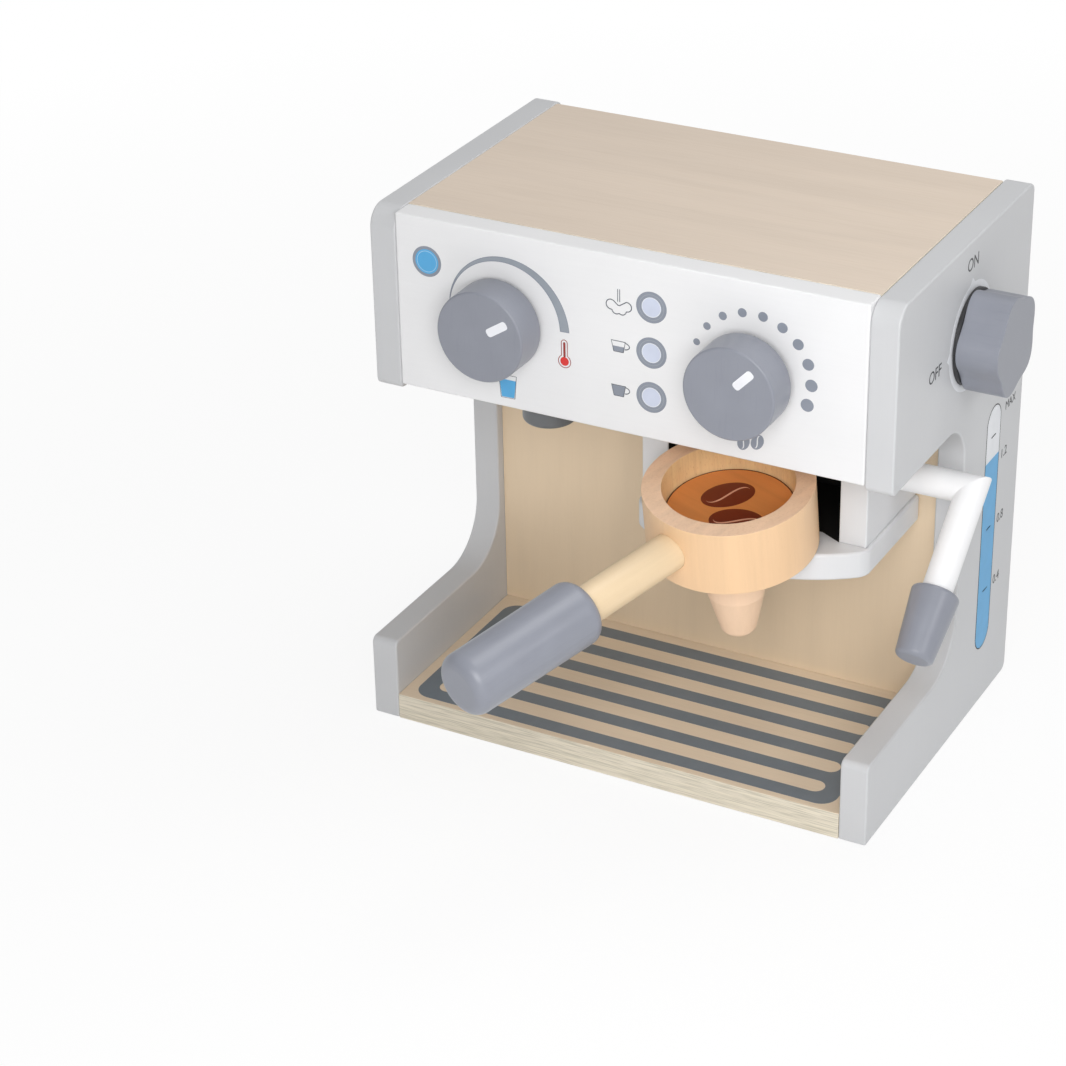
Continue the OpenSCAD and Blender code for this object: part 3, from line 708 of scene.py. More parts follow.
class TOYCOFFEE_OT_side_panels(CoffeeStep, bpy.types.Operator):
    """Models the two painted side panels with their arch, sweep and rounded corners"""

    bl_idname = "toy_coffee.side_panels"
    bl_label = "Side Panels"

    def execute(self, context):
        settings = context.scene.toy_coffee.case
        paint = satin_paint("satin_grey_paint", settings.side_paint)
        left = self.panel("left_side_panel.painted", CASE_LOW.x)
        right = self.panel("right_side_panel.painted", INNER_X)
        middle = (INNER_X + CASE_HIGH.x) / 2
        bored(right, (middle, KNOB_Y, KNOB_Z), (1, 0, 0), AXLE_BORE_R, THROUGH)
        for obj, node in ((left, "left_side_panel"), (right, "right_side_panel")):
            soften(obj, settings.edge_round)
            dress(obj, "case", paint, "painted_wood_grey", node)
        return {"FINISHED"}

    def panel(self, name, x):
        """A side panel with its left face at x: a column, drawn out forwards into head and foot."""
        rear, front, foot, top = CASE_HIGH.y, HEAD_Y, CASE_LOW.y, CASE_HIGH.z
        pick()
        bpy.ops.mesh.primitive_plane_add(
            size=1, location=Vector((x, (COLUMN_Y + rear) / 2, top / 2)) * MM,
            rotation=(0, math.pi / 2, 0))
        bpy.context.active_object.scale = (top * MM, (rear - COLUMN_Y) * MM, 1)
        obj = placed(name)
        edit(obj)
        for z in (FOOT_H, HEAD_UNDER):
            bpy.ops.mesh.select_all(action="SELECT")
            bpy.ops.mesh.bisect(plane_co=(0, 0, z * MM), plane_no=(0, 0, 1))
        for low, high, reach in ((0, FOOT_H, COLUMN_Y - foot), (HEAD_UNDER, top, COLUMN_Y - front)):
            choose("EDGE", lambda m, n: near(m.y, COLUMN_Y) and near(m.z, (low + high) / 2, 1))
            bpy.ops.mesh.extrude_region_move(TRANSFORM_OT_translate={"value": (0, -reach * MM, 0)})
        bpy.ops.mesh.select_all(action="SELECT")
        bpy.ops.mesh.dissolve_limited(angle_limit=math.radians(1))
        corners = (
            (COLUMN_Y, HEAD_UNDER, ARCH_R, 20), (COLUMN_Y, FOOT_H, SWEEP_R, 24),
            (front, top, BROW_R, 12), (rear, top, REAR_R, 8), (rear, 0, REAR_R, 8),
            (front, HEAD_UNDER, NOSE_R, 6), (foot, FOOT_H, NOSE_R, 6))
        for y, z, radius, segments in corners:
            choose("VERT", lambda m, n: near(m.y, y) and near(m.z, z))
            bpy.ops.mesh.bevel(offset=radius * MM, segments=segments, affect="VERTICES")
        bpy.ops.mesh.select_all(action="SELECT")
        bpy.ops.mesh.extrude_region_move(
            TRANSFORM_OT_translate={"value": ((CASE_HIGH.x - INNER_X) * MM, 0, 0)})
        done()
        return obj


class TOYCOFFEE_OT_boards(CoffeeStep, bpy.types.Operator):
    """Models the base, top, front, back and rear boards with their softened edges"""

    bl_idname = "toy_coffee.boards"
    bl_label = "Boards"

    def execute(self, context):
        settings = context.scene.toy_coffee.case
        white = satin_paint("satin_white_paint", settings.front_paint, grain="X")
        edge = linear("#E7DECB")
        flat = birch_board("birch_plywood_top", settings.birch, "X", "Z", edge)
        # the base's birch is given warmer than the top's: painted warm light bounced onto the low
        # base
        base = birch_board("birch_plywood_base", linear("#E4D2BA"), "X", "Z", edge)
        # the upright boards' warmer birch is partly their veneer and partly painted warm bounce light
        upright = birch_board(
            "birch_plywood_upright", settings.warm_birch, "Z", "Y", edge, streak=0.012)
        for name, finish, slot in (
            ("base_board", base, "birch_plywood"), ("top_panel", flat, "birch_plywood"),
            ("front_panel", white, "painted_wood_white"), ("back_panel", upright, "birch_plywood"),
            ("rear_panel", upright, "birch_plywood"), ("head_floor", flat, "birch_plywood")):
            low, high = limits(name)
            obj = board(name + ".board", low, high)
            if name == "front_panel":
                for side in (-1, 1):
                    bored(obj, (side * DIAL_X, low.y, DIAL_Z), (0, 1, 0), AXLE_BORE_R, THROUGH)
            # the painted board is sanded rounder than the clear ones
            soften(obj, settings.edge_round * (1.0 if name == "front_panel" else 0.45))
            dress(obj, "case", finish, slot, name)
        finish_node("case_dowels", flat)
        return {"FINISHED"}


class TOYCOFFEE_OT_brew_group(CoffeeStep, bpy.types.Operator):
    """Models the brew group: its cheeks, the dark block behind and the slotted plate"""

    bl_idname = "toy_coffee.brew_group"
    bl_label = "Brew Group"

    def execute(self, context):
        settings = context.scene.toy_coffee.case
        paint = satin_paint("satin_group_paint", tone(settings.side_paint, 1.2))
        # matt black paint, rough enough to show no highlight
        black = satin_paint("matt_black_paint", linear("#070707"), roughness=0.7)
        for name, inner in (("group_cheek_left", 1), ("group_cheek_right", -1)):
            low, high = limits(name)
            cheek = board(name + ".painted", low, high)
            if inner < 0:
                bored(cheek, (high.x, *WAND_PLACE), (1, 0, 0), WAND_BORE_R, WAND_BORE)
                bored(cheek, (low.x, *WAND_PLACE), (1, 0, 0), SCREW_BORE_R, SCREW_BORE)
            soften(cheek, settings.edge_round * 0.7)
            dress(cheek, "case", paint, "painted_wood_grey", name)
            second_coat(cheek, black, lambda m, n: n.x * inner > 0.9)
        plate = self.plate()
        soften(plate, PLATE_ROUND * MM, angle=40, segments=4)
        dress(plate, "case", paint, "painted_wood_grey", "group_plate")
        finish_node("group_back_block", black)
        # a matt black coat on the plate inside the group, black like the group's other inner faces;
        # its slanted front edges are painted shadow of the cup
        ink_print(
            "group_plate.black_with_painted_shadow", "case", black, "painted_wood_black", [self.coat()],
            facing_plane((0, 0, limits("group_plate")[1].z), (1, 0, 0), (0, 1, 0)),
            context.scene.toy_coffee.prints.film)
        finish_node("hot_water_outlet", knob_lacquer(
            "outlet_grey_lacquer", linear("#6C6F72"), roughness=0.4))
        return {"FINISHED"}

    def coat(self):
        """The outline of the black coat on the plate, between the cheeks and round the slot. Its
        front edge slants back from each cheek along the cup's shadow: painted shadow.
        """
        left, right = limits("group_cheek_left")[1].x, limits("group_cheek_right")[0].x
        back = limits("group_back_block")[0].y
        # the slant from the mouth back to the front line follows the cup's shadow: painted shadow
        mouth, front, slant, round_slot = -34.9, -30, 9.2, SLOT_R + 1.5
        slot = [
            (GROUP_X - round_slot * math.cos(a), SLOT_Y + round_slot * math.sin(a))
            for a in (math.radians(7.5 * i) for i in range(25))]
        return [
            (right, mouth), (right, back), (left, back), (left, mouth), (left + slant, front),
            (GROUP_X - round_slot, front), *slot, (GROUP_X + round_slot, front),
            (right - slant, front)]

    def plate(self):
        """A disc of the front's radius, trimmed at sides and back, with round corners and a slot."""
        low, high = limits("group_plate")
        middle = (low.z + high.z) / 2
        obj = rod(
            "group_plate.painted", (GROUP_X, PLATE_ARC_Y, middle), (0, 0, 1),
            PLATE_ARC_R, high.z - low.z, 256)
        edit(obj)
        for point, normal in (
            ((low.x, 0, 0), (-1, 0, 0)), ((high.x, 0, 0), (1, 0, 0)), ((0, high.y, 0), (0, 1, 0))):
            bpy.ops.mesh.select_all(action="SELECT")
            bpy.ops.mesh.bisect(
                plane_co=Vector(point) * MM, plane_no=normal, use_fill=True, clear_outer=True)

        def from_side(m):
            return min(m.x - low.x, high.x - m.x)

        def at_front(m, n):
            return abs(n.z) > 0.9 and m.y < 0

        # the short edges that the rounding of each corner takes up go first
        choose("EDGE", lambda m, n: at_front(m, n) and TOUCH < from_side(m) < PLATE_CORNER)
        bpy.ops.mesh.dissolve_edges(use_verts=True)
        choose("EDGE", lambda m, n: at_front(m, n) and from_side(m) < TOUCH)
        bpy.ops.mesh.bevel(offset=PLATE_CORNER * MM, segments=10, affect="EDGES")
        done()
        cutter = rod("slot_cutter", (GROUP_X, SLOT_Y, middle), (0, 0, 1), SLOT_R, 2 * THROUGH, 64)
        edit(cutter)
        choose("VERT", lambda m, n: m.y < SLOT_Y - 0.01)
        bpy.ops.transform.translate(value=(0, -SLOT_REACH * MM, 0))
        done()
        cut_away(obj, cutter)
        return obj


class TOYCOFFEE_OT_dials(CoffeeStep, bpy.types.Operator):
    """Models the two turned front dials and prints their pointers"""

    bl_idname = "toy_coffee.dials"
    bl_label = "Dials"

    def execute(self, context):
        settings = context.scene.toy_coffee
        beech = turned_wood("beech_axles", settings.portafilter.beech, grain="Y")
        mark = screen_ink("white_ink", linear("#ECEDF2"))
        # each dial's pointer: its middle, measured from the dial's, and its slant in degrees
        for x, name, u, v, slant in (
            (-DIAL_X, "left_dial", 8.1, 5.3, 32.9), (DIAL_X, "right_dial", 6.25, 7.35, 46.1)):
            lacquer = knob_lacquer(
                name + "_grey_lacquer", settings.knobs.lacquer, Matrix.Translation((x, 0, DIAL_Z)))
            low, high = limits(name)
            dial = rod(
                name + ".turned", (low + high) / 2, (0, -1, 0),
                (high.x - low.x) / 2, high.y - low.y, 96)
            bored(dial, (x, high.y, DIAL_Z), (0, 1, 0), KNOB_BORE_R, KNOB_BORE)
            soften(dial, settings.knobs.edge_round, segments=5)
            dress(dial, name, lacquer, "lacquered_wood_grey", name)
            finish_node(name + "_axle", beech)
            pointer = rounded_bar(x + u, DIAL_Z + v, POINTER_L, POINTER_W, slant, POINTER_CORNER)
            face = facing_plane((0, low.y, 0), (1, 0, 0), (0, 0, 1))
            ink_print(
                name + ".pointer", name, mark, "painted_wood_white", [pointer], face,
                settings.prints.film)
        return {"FINISHED"}


class TOYCOFFEE_OT_power_knob(CoffeeStep, bpy.types.Operator):
    """Models the wavy power knob on the right side panel"""

    bl_idname = "toy_coffee.power_knob"
    bl_label = "Power Knob"

    def execute(self, context):
        settings = context.scene.toy_coffee
        centre = Vector(((KNOB_LOW.x + KNOB_HIGH.x) / 2, KNOB_Y, KNOB_Z))
        steps = 36
        pick()
        bpy.ops.mesh.primitive_cylinder_add(
            vertices=steps * KNOB_LOBES, radius=KNOB_MEAN_R * MM,
            depth=(KNOB_HIGH.x - KNOB_LOW.x) * MM, location=centre * MM,
            rotation=(math.pi / 2, 0, math.pi / 2))
        knob = placed("power_knob.turned")
        edit(knob)
        for step in range(steps):
            phase = step * math.tau / steps
            ratio = 1 + KNOB_WAVE / KNOB_MEAN_R * math.cos(phase)

            def on_step(m, n):
                turn = math.atan2(m.z - KNOB_Z, m.y - KNOB_Y) - math.radians(KNOB_LOBE_ANGLE)
                off = (turn * KNOB_LOBES - phase) / math.tau
                return abs(off - round(off)) < 0.4 / steps

            choose("VERT", on_step)
            bpy.ops.transform.resize(value=(1, ratio, ratio), center_override=centre * MM)
        done()
        bored(knob, (KNOB_LOW.x, KNOB_Y, KNOB_Z), (1, 0, 0), KNOB_BORE_R, KNOB_BORE)
        soften(knob, settings.knobs.edge_round, segments=5)
        lacquer = knob_lacquer(
            "power_knob_grey_lacquer", settings.knobs.lacquer,
            Matrix.Translation((0, KNOB_Y, KNOB_Z)), grain="X", roughness=0.32)
        dress(knob, "power_knob", lacquer, "lacquered_wood_grey", "power_knob")
        # the spacer's black is painted shade, for the dark gap behind the knob; it is as even and
        # satin as the ink
        finish_node("power_knob_spacer", screen_ink("rubber_black", linear("#2B2B2D")))
        finish_node("power_knob_axle", turned_wood(
            "beech_power_axle", settings.portafilter.beech, grain="X"))
        return {"FINISHED"}


class TOYCOFFEE_OT_wand(CoffeeStep, bpy.types.Operator):
    """Models the steam wand's tapered tip and finishes its white arm and leg"""

    bl_idname = "toy_coffee.wand"
    bl_label = "Steam Wand"

    def execute(self, context):
        settings = context.scene.toy_coffee
        # the wand's white is the front's paint made 7% lighter: painted light, for the brighter light
        # that falls on the wand
        white = satin_paint(
            "wand_white_paint_painted_light", tone(settings.case.front_paint, 1.07), grain="X", roughness=0.34)
        finish_node("wand_arm", white)
        finish_node("wand_leg", white)
        lacquer = knob_lacquer(
            "wand_tip_grey_lacquer", settings.knobs.lacquer, WAND_FRAME, roughness=0.32)
        dress(self.tip(), "wand", lacquer, "lacquered_wood_grey", "wand_tip")
        return {"FINISHED"}

    def tip(self):
        """A tapered plug with rounded ends, bored for the leg."""
        tip = rod(
            "wand_tip.turned", (0, 0, (TIP_TOP + TIP_FOOT) / 2), (0, 0, 1),
            TIP_R, TIP_TOP - TIP_FOOT, 96)
        edit(tip)
        choose("VERT", lambda m, n: near(m.z, TIP_FOOT))
        bpy.ops.transform.resize(
            value=(TIP_TAPER, TIP_TAPER, 1), center_override=(0, 0, TIP_FOOT * MM))
        choose("EDGE", lambda m, n: near(m.z, TIP_TOP) or near(m.z, TIP_FOOT))
        bpy.ops.mesh.bevel(offset=TIP_ROUND * MM, segments=6, affect="EDGES")
        done()
        bored(tip, (0, 0, TIP_TOP), (0, 0, 1), TIP_BORE_R, TIP_BORE)
        soften(tip, TIP_EDGE * MM)
        return placed("wand_tip.turned", WAND_FRAME)


class TOYCOFFEE_OT_portafilter(CoffeeStep, bpy.types.Operator):
    """Models the turned cup, finishes the disc, spout, handle and grip, and prints the beans"""

    bl_idname = "toy_coffee.portafilter"
    bl_label = "Portafilter"

    def execute(self, context):
        settings = context.scene.toy_coffee
        cup = self.cup()
        # the cup's end grain, on its rim, is paler than its side, not darker as end grain is: painted
        # light on the rim, which faces up
        outside = turned_wood(
            "lacquered_beech_cup", settings.portafilter.beech, CUP_FRAME, end=linear("#F2CEAD"))
        dress(cup, "portafilter", outside, "beech", "portafilter_cup")
        # the hollow is a much paler copy of the cup's beech: painted light, for light reaching into
        # the hollow; its stronger flecks and streaks are the wood's grain
        inside = turned_wood(
            "lacquered_beech_hollow_painted_light", linear("#FFDDA9"), CUP_FRAME,
            contrast=0.1, fleck=0.7, streak=0.08)
        to_cup = CUP_FRAME.inverted()

        def in_hollow(m, n):
            place = to_cup @ m
            return math.hypot(place.x, place.y) < HOLLOW_R + TOUCH and place.z > HOLLOW_FLOOR

        second_coat(cup, inside, in_hollow)
        finish_node("portafilter_spout", turned_wood(
            "lacquered_beech_spout", linear("#FBD9B9"), CUP_FRAME, end=linear("#F6D6B8")))
        # a birch dowel, paler than the beech, with its streaks along its length
        finish_node("handle_dowel", turned_wood(
            "lacquered_birch_dowel", linear("#E8D0AC"), CUP_FRAME, grain="Y"))
        finish_node("handle_grip", knob_lacquer(
            "grip_grey_lacquer", settings.knobs.lacquer, CUP_FRAME, grain="Y"))
        finish_node("coffee_disc", turned_wood(
            "stained_coffee_disc", settings.portafilter.coffee, CUP_FRAME, grain="X", contrast=0.08))
        brown = screen_ink("bean_brown_ink", linear("#72290F"))
        lip = screen_ink("bean_slit_ink", linear("#E2A98C"))
        # a dark ring printed round the disc's edge: painted shadow of the gap between the disc and
        # the hollow's wall
        painted_gap_shadow = screen_ink("disc_gap_shadow_ink", linear("#45200F"))
        prints = [("coffee_disc.painted_gap_shadow", painted_gap_shadow, ring(0, 0, 26.2, 25.8, 120))]
        bean_l, bean_w, slit_w = 22.4, 15.5, 0.5
        for i, (u, v, angle) in enumerate(((-6.8, 5.6, 62.5), (7.9, -4.6, 31.0))):
            rim, slit = coffee_bean(u, v, angle, bean_l, bean_w, slit_w)
            prints.append((f"coffee_bean_{i}", brown, [rim, slit]))
            prints.append((f"coffee_bean_slit_{i}", lip, [slit]))
        for name, ink, loops in prints:
            ink_print(
                name, "portafilter", ink, "painted_wood_brown", loops, DISC_PLANE,
                settings.prints.film)
        return {"FINISHED"}

    def cup(self):
        """The cup, hollowed from above and bored for the handle and the spout."""
        cup = rod("portafilter_cup.turned", (0, 0, CUP_H / 2), (0, 0, 1), CUP_R, CUP_H, 144)
        edit(cup)
        choose("FACE", lambda m, n: n.z > 0.9)
        bpy.ops.mesh.inset(thickness=(CUP_R - HOLLOW_R) * MM)
        bpy.ops.mesh.extrude_region_move(
            TRANSFORM_OT_translate={"value": (0, 0, (HOLLOW_FLOOR - CUP_H) * MM)})
        done()
        bored(cup, (0, -CUP_R, HANDLE_Z), (0, 1, 0), HANDLE_BORE_R, HANDLE_BORE)
        bored(cup, (0, 0, 0), (0, 0, 1), SPOUT_BORE_R, SPOUT_BORE)
        soften(cup, CUP_ROUND * MM, segments=4)
        return placed("portafilter_cup.turned", CUP_FRAME)


class TOYCOFFEE_OT_fixings(CoffeeStep, bpy.types.Operator):
    """Finishes the screws and washers"""

    bl_idname = "toy_coffee.fixings"
    bl_label = "Screws and Washers"

    def execute(self, context):
        steel = zinc_steel("zinc_plated_steel")
        for name in (
            "group_screws", "plate_screws", "outlet_screw", "left_dial_washer", "left_dial_screw",
            "right_dial_washer", "right_dial_screw", "power_knob_washer", "power_knob_screw",
            "wand_screw"):
            finish_node(name, steel)
        return {"FINISHED"}


class TOYCOFFEE_OT_front_prints(CoffeeStep, bpy.types.Operator):
    """Prints the lamp, the buttons, the pictograms and the dials' scales on the front panel"""

    bl_idname = "toy_coffee.front_prints"
    bl_label = "Front Prints"

    def execute(self, context):
        settings = context.scene.toy_coffee.prints
        grey = screen_ink("grey_ink", settings.grey_ink)
        light = screen_ink("light_grey_ink", linear("#9AA1AA"))
        dark = screen_ink("outline_ink", linear("#565B65"))
        blue = screen_ink("blue_ink", settings.blue_ink)
        shine = screen_ink("pale_blue_ink", linear("#A9CFEA"))
        pale = screen_ink("pale_lilac_ink", linear("#CDD4E6"))
        edge = screen_ink("white_line_ink", linear("#E4E8F0"))
        red = screen_ink("red_ink", linear("#D8302C"))
        maroon = screen_ink("maroon_ink", linear("#93302C"))

        def put_on(name, ink, loops):
            ink_print(
                name, "case", ink, "lacquered_wood_dark_grey", loops, FRONT_PLANE, settings.film)

        # radii of the lamp from its rim inwards, then of the buttons
        lamp, rim, lens, gleam, heart = (-88.6, 211.4), 6.6, 5.3, 4.6, 4.35
        put_on("lamp.ring", grey, ring(*lamp, rim, lens))
        put_on("lamp.shine", shine, ring(*lamp, gleam, heart))
        put_on("lamp.lens", blue, ring(*lamp, lens, gleam) + [round_dot(*lamp, heart)])
        button_x, groove, inner, lip, lens = 12, 5.45, 5.2, 4.2, 3.9
        rings, grooves, lips, lenses = [], [], [], []
        for z in (211.1, 191.7, 172.5):
            rings += ring(button_x, z, rim, groove) + ring(button_x, z, inner, lip)
            grooves += ring(button_x, z, groove, inner)
            lips += ring(button_x, z, lip, lens)
            lenses.append(round_dot(button_x, z, lens))
        put_on("buttons.rings", grey, rings)
        put_on("buttons.grooves", light, grooves)
        put_on("buttons.lips", edge, lips)
        put_on("buttons.lenses", pale, lenses)
        # both edges of the heat scale move outwards on the way from its first angle to its last
        first, last = 168, 1.5
        scale = arc_band(
            -DIAL_X, DIAL_Z, first, last,
            lambda t: 23.8 + 4.6 * t - 1.8 * t * t, lambda t: 24.2 + 8.7 * t - 2.1 * t * t)
        core = arc_band(
            -DIAL_X, DIAL_Z, first - 25, last + 0.7,
            lambda t: 24.8 + 3.5 * t - 1.4 * t * t, lambda t: 25.1 + 7.0 * t - 1.6 * t * t)
        put_on("heat_scale", light, [core])
        put_on("heat_scale.edge", grey, [scale, core])
        dots_r, first_dot, growth = 25, 2.9, 0.28
        put_on("grind_scale", grey, [
            round_dot(
                DIAL_X + dots_r * math.cos(a), DIAL_Z + dots_r * math.sin(a),
                (first_dot + growth * i) / 2, 32)
            for i, a in ((i, math.radians(160 - 20 * i)) for i in range(10))])
        put_on("steam_pictogram", dark, self.steam(-2.2, 210.5))
        cup_x = -2.5
        for name, v, level in (("half_cup", 191.6, 0.0), ("full_cup", 172.4, 2.1)):
            put_on(name + ".outline", dark, self.cup_outline(cup_x, v))
            half = 2.62 + 0.2 * level
            put_on(name + ".fill", grey, [[
                (cup_x - half, v + level), (cup_x + half, v + level),
                (cup_x + 2.05, v - 2.1), (cup_x - 1.9, v - 2.1)]])
        bulb = (-26.55, 180.1)
        put_on("thermometer.outline", maroon, self.thermometer(*bulb))
        put_on("thermometer.bulb", red, [round_dot(*bulb, 1.9)])
        put_on("thermometer.tube", maroon, [rounded_bar(bulb[0], 185.2, 6.6, 1.0, 90)])
        put_on("glass.water", blue, [[
            (-56.5, 166.5), (-49.0, 166.5), (-49.9, 158.8), (-55.6, 158.6)]])
        put_on("glass.outline", dark, stroke(
            [(-56.8, 168.5), (-48.7, 168.5), (-49.6, 158.5), (-55.9, 158.3)], FINE_LINE, closed=True))
        put_on("bean_pictogram", grey, [
            *coffee_bean(52.0, 161.8, 70, 7.2, 5.0, 0.28),
            *coffee_bean(57.9, 163.1, 62, 7.2, 5.0, 0.28)])
        return {"FINISHED"}

    def cup_outline(self, u, v):
        """A cup seen from the side, with its handle on the right."""
        bowl = [(u - 3.1, v + 2.3), (u + 3.1, v + 2.3), (u + 2.2, v - 2.3), (u - 2.0, v - 2.3)]
        ear = [
            (u + 2.8 + 2.1 * math.sin(a), v + 0.5 + 1.4 * math.cos(a))
            for a in (math.radians(t) for t in range(0, 181, 15))]
        return stroke(bowl, LINE, closed=True) + stroke(ear, LINE)

    def steam(self, u, v):
        """A nozzle over a small cloud."""
        nozzle = [rounded_bar(u + dx, v + 2.9, 5.4, 0.3, 90) for dx in (-0.45, 0.45)]
        # the cloud is the outline round four circles, each given by its middle and radius
        lobes = ((-3.4, 0.2, 2.1), (-1.1, -1.6, 1.9), (1.4, -1.6, 1.9), (3.6, 0.2, 2.0))
        points = []
        steps = 96
        for i in range(steps):
            a = i * math.tau / steps
            dx, dy = math.cos(a), math.sin(a)
            reach = 0.35
            for x, y, r in lobes:
                along = x * dx + y * dy
                off = r * r - (x * dy - y * dx) ** 2
                if off > 0:
                    reach = max(reach, along + math.sqrt(off))
            points.append((u + reach * dx, v - 1.6 + reach * dy))
        return nozzle + stroke(points, LINE, closed=True)

    def thermometer(self, u, v):
        """A tube on a bulb, drawn as one outline."""
        bulb_r, tube_r, tube_h = 2.75, 1.35, 8.0
        points = []
        for i in range(33):
            a = math.radians(118 + 304 * i / 32)
            points.append((u + bulb_r * math.cos(a), v + bulb_r * math.sin(a)))
        for i in range(13):
            a = math.radians(15 * i)
            points.append((u + tube_r * math.cos(a), v + tube_h + tube_r * math.sin(a)))
        return stroke(points, FINE_LINE, closed=True)


class TOYCOFFEE_OT_side_prints(CoffeeStep, bpy.types.Operator):
    """Prints the ring and words round the power knob and the water gauge on the right side panel"""

    bl_idname = "toy_coffee.side_prints"
    bl_label = "Side Prints"

    def execute(self, context):
        settings = context.scene.toy_coffee.prints
        white = screen_ink("white_gauge_ink", linear("#E9EBEF"))
        blue = screen_ink("blue_gauge_ink", settings.blue_ink)
        dark = screen_ink("dark_lettering_ink", linear("#26282C"))

        def put_on(name, ink, slot, loops):
            ink_print(name, "case", ink, slot, loops, SIDE_PLANE, settings.film)

        # a ring with a point towards each word
        ring_r, hole_r, point_h, point_half, steps = 22.8, 16.0, 2.6, 6, 144
        outline = []
        for i in range(steps):
            a = i * math.tau / steps
            point = max(1 - abs(math.degrees(a) - turn) / point_half for turn in (92.5, 182.5))
            r = ring_r + point_h * max(0.0, point)
            outline.append((KNOB_Y + r * math.cos(a), KNOB_Z + r * math.sin(a)))
        put_on("power_ring", white, "painted_wood_white", [
            outline, round_dot(KNOB_Y, KNOB_Z, hole_r, 72)])
        # the gauge: a bar with round ends, filled with water up to a level
        middle, half, level = 45.75, 7.75, 118.5
        foot, head = 27.7 + half, 143.0 - half
        turns = (math.radians(6 * i) for i in range(31))
        arcs = [(half * math.cos(a), half * math.sin(a)) for a in turns]
        upper = [(middle + x, head + y) for x, y in arcs]
        lower = [(middle - x, foot - y) for x, y in arcs]
        put_on("gauge.empty", white, "painted_wood_white", [
            [(middle - half, level), (middle + half, level)] + upper])
        put_on("gauge.water", blue, "lacquered_wood_grey", [
            [(middle + half, level), (middle - half, level)] + lower])
        put_on("gauge.outline", dark, "painted_wood_black", stroke(upper + lower, 0.5, closed=True))
        put_on("gauge.ticks", dark, "painted_wood_black", [
            rounded_bar(middle + shift, z, length, 0.6)
            for shift, z, length in ((0.2, 129.0, 5.4), (0.3, 85.5, 5.0), (0.3, 55.9, 5.0))])
        for name, words, y, z, height in (
            ("word_on", "ON", 10.6, 220.3, 5.4), ("word_off", "OFF", -25.5, 187.2, 5.2),
            ("word_max", "MAX", 64.4, 136.9, 3.9), ("gauge_1.2", "1.2", 59.8, 115.2, 4.3),
            ("gauge_0.8", "0.8", 59.8, 84.8, 4.3), ("gauge_0.4", "0.4", 59.4, 55.2, 4.3)):
            ink_text(
                name, "case", dark, "painted_wood_black", words, y, z, height, SIDE_PLANE,
                settings.film)
        return {"FINISHED"}


class TOYCOFFEE_OT_grille_print(CoffeeStep, bpy.types.Operator):
    """Prints the drip grille on the base"""

    bl_idname = "toy_coffee.grille_print"
    bl_label = "Drip Grille Print"

    def execute(self, context):
        settings = context.scene.toy_coffee.prints
        ink = screen_ink("grille_ink", settings.grille_ink)
        front, back, width, corner = -75.4, 12.2, 196, 7.5
        stripe, slot, slot_width = 7.5, 8.5, 180.6
        loops = [rounded_bar(0, (front + back) / 2, width, back - front, corner=corner)]
        for i in range(5):
            y = front + stripe + slot / 2 + i * (stripe + slot)
            loops.append(rounded_bar(0, y, slot_width, slot))
        ink_print(
            "drip_grille", "case", ink, "lacquered_wood_dark_grey", loops, BASE_PLANE, settings.film)
        return {"FINISHED"}


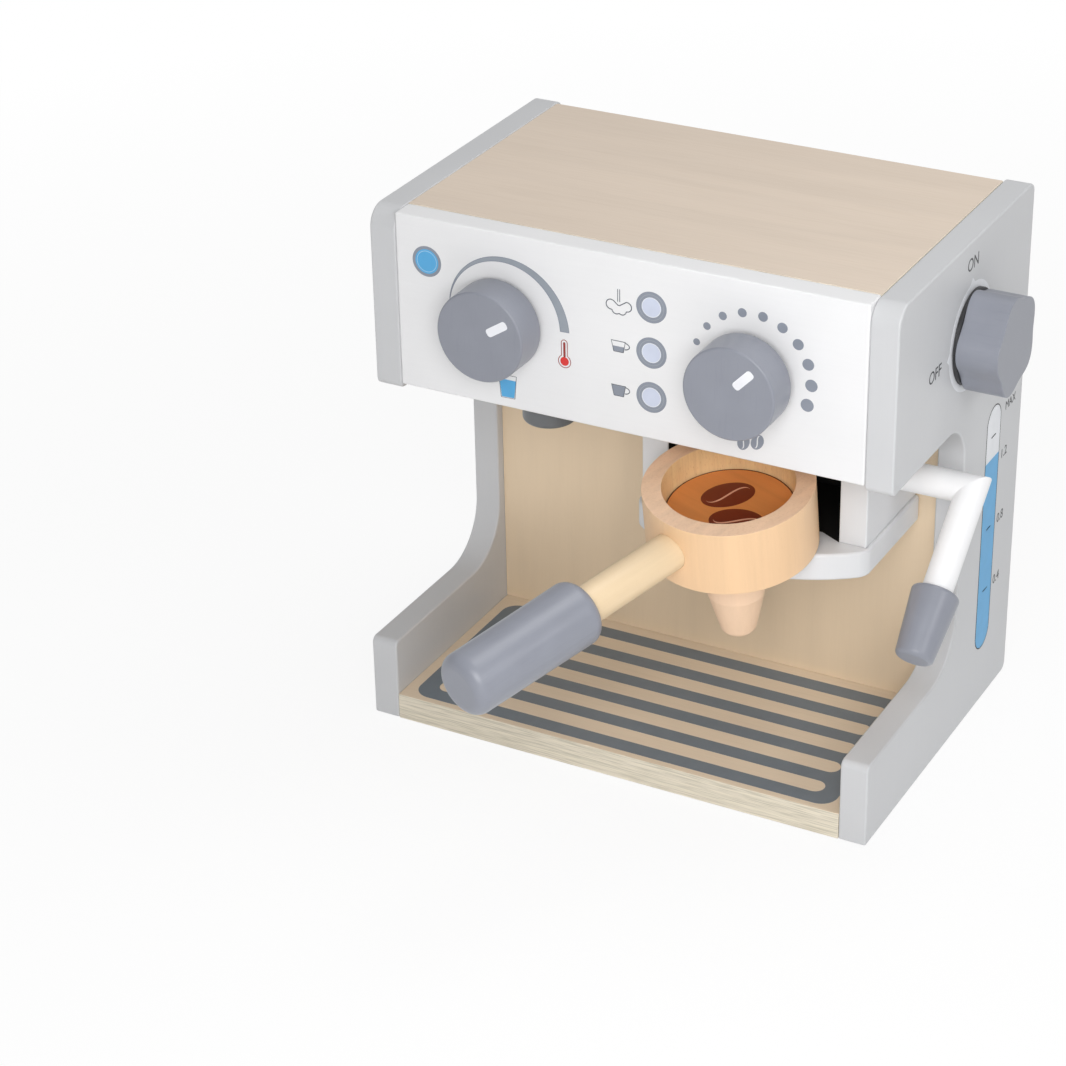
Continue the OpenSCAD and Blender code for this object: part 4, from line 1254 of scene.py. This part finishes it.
class TOYCOFFEE_OT_stage(CoffeeStep, bpy.types.Operator):
    """Sets up the pale floor, the soft studio light and the camera"""

    bl_idname = "toy_coffee.stage"
    bl_label = "Stage"

    def execute(self, context):
        scene = context.scene
        settings = scene.toy_coffee.stage
        scene.view_settings.view_transform = "Standard"
        self.floor()
        self.sky(scene, settings.sky)
        # each lamp: its place, the point it is turned to, its width and its power
        for name, place, aim, width, power in (
            ("key_light", (0.28, -0.62, 0.45), (0, 0, 0.13), 0.4, settings.key),
            ("side_light", (0.78, -0.22, 0.58), (0.1, 0, 0.12), 0.3, settings.side),
            ("top_light", (0.2, 0.3, 1.15), (0, 0, 0.1), 0.6, settings.top)):
            self.lamp(name, place, aim, width, power)
        camera = bpy.data.cameras.new("camera")
        camera.sensor_width = 36
        camera.lens = camera.sensor_width * FOCAL_LENGTH / FRAME_SIZE
        camera.shift_x = (FRAME_SIZE / 2 - FRAME_MIDDLE) / FRAME_SIZE
        camera.clip_start, camera.clip_end = 0.05, 20
        obj = bpy.data.objects.new("camera", camera)
        scene.collection.objects.link(obj)
        obj.location = Vector(CAMERA_PLACE) * MM
        obj.rotation_euler = [math.radians(a) for a in CAMERA_TURN]
        scene.camera = obj
        return {"FINISHED"}

    def floor(self):
        """A large matt floor with a soft shadow, seen by the camera and the gloss as nearly white."""
        pick()
        bpy.ops.mesh.primitive_plane_add(size=FLOOR_SIZE, location=(0, 0, -FLOOR_GAP))
        floor = placed("floor")
        material, tree, place = new_finish("pale_floor")
        rays = put(tree, "LightPath")
        seen = put(tree, "Math", {
            0: rays.outputs["Is Camera Ray"], 1: rays.outputs["Is Glossy Ray"]}, operation="MAXIMUM")
        # the plain white grows from 0.25 m to 0.9 m away from the middle, so the edge doesn't show
        away = put(tree, "VectorMath", {0: place.outputs["Object"]}, operation="LENGTH")
        share = put(tree, "MapRange", {
            "Value": away, "From Min": 0.25, "From Max": 0.9, "To Min": 0.88, "To Max": 1.0})
        put(tree, "OutputMaterial", {"Surface": put(tree, "MixShader", {
            0: put(tree, "Math", {0: seen, 1: share}, operation="MULTIPLY"),
            1: put(tree, "BsdfDiffuse", {"Color": (0.9, 0.9, 0.9, 1)}),
            2: put(tree, "Emission", {"Color": (1, 1, 1, 1), "Strength": 1.0})})})
        floor.data.materials.append(material)

    def sky(self, scene, strength):
        """An even white sky: its own strength as light, and plain white where the camera sees it."""
        world = bpy.data.worlds.new("studio")
        world.use_nodes = True
        tree = world.node_tree
        tree.nodes.clear()
        put(tree, "OutputWorld", {"Surface": put(tree, "MixShader", {
            0: put(tree, "LightPath").outputs["Is Camera Ray"],
            1: put(tree, "Background", {"Color": (1, 1, 1, 1), "Strength": strength}),
            2: put(tree, "Background", {"Color": (1, 1, 1, 1), "Strength": 1.0})})})
        scene.world = world

    def lamp(self, name, place, aim, width, power):
        """A round soft lamp at a place in metres, turned to a point."""
        light = bpy.data.lights.new(name, "AREA")
        light.shape, light.size, light.energy = "DISK", width, power
        obj = bpy.data.objects.new(name, light)
        bpy.context.scene.collection.objects.link(obj)
        obj.matrix_world = Matrix.Translation(place) @ (
            (Vector(aim) - Vector(place)).to_track_quat("-Z", "Y").to_matrix().to_4x4())


STEPS = (
    "side_panels", "boards", "brew_group", "dials", "power_knob", "wand", "portafilter",
    "fixings", "front_prints", "side_prints", "grille_print", "stage")


class TOYCOFFEE_PT_panel(bpy.types.Panel):
    """Lists the coffee maker's steps and settings in the sidebar"""

    bl_label = "Coffee Maker"
    bl_idname = "TOYCOFFEE_PT_panel"
    bl_space_type = "VIEW_3D"
    bl_region_type = "UI"
    bl_category = "Coffee Maker"

    def draw(self, context):
        layout = self.layout
        for step in STEPS:
            layout.operator("toy_coffee." + step)
        settings = context.scene.toy_coffee
        for group in (
            settings.case, settings.knobs, settings.portafilter, settings.prints, settings.stage):
            box = layout.box()
            for prop in group.bl_rna.properties:
                if prop.identifier not in ("rna_type", "name"):
                    box.prop(group, prop.identifier)


CLASSES = (
    CaseSettings, KnobSettings, PortafilterSettings, PrintSettings, StageSettings,
    CoffeeMakerSettings, TOYCOFFEE_OT_side_panels, TOYCOFFEE_OT_boards, TOYCOFFEE_OT_brew_group,
    TOYCOFFEE_OT_dials, TOYCOFFEE_OT_power_knob, TOYCOFFEE_OT_wand, TOYCOFFEE_OT_portafilter,
    TOYCOFFEE_OT_fixings, TOYCOFFEE_OT_front_prints, TOYCOFFEE_OT_side_prints,
    TOYCOFFEE_OT_grille_print, TOYCOFFEE_OT_stage, TOYCOFFEE_PT_panel)


def register():
    for cls in CLASSES:
        bpy.utils.register_class(cls)
    bpy.types.Scene.toy_coffee = PointerProperty(type=CoffeeMakerSettings)


def unregister():
    del bpy.types.Scene.toy_coffee
    for cls in reversed(CLASSES):
        bpy.utils.unregister_class(cls)


def main():
    register()
    for step in STEPS:
        getattr(bpy.ops.toy_coffee, step)()


if __name__ == "__main__":
    main()
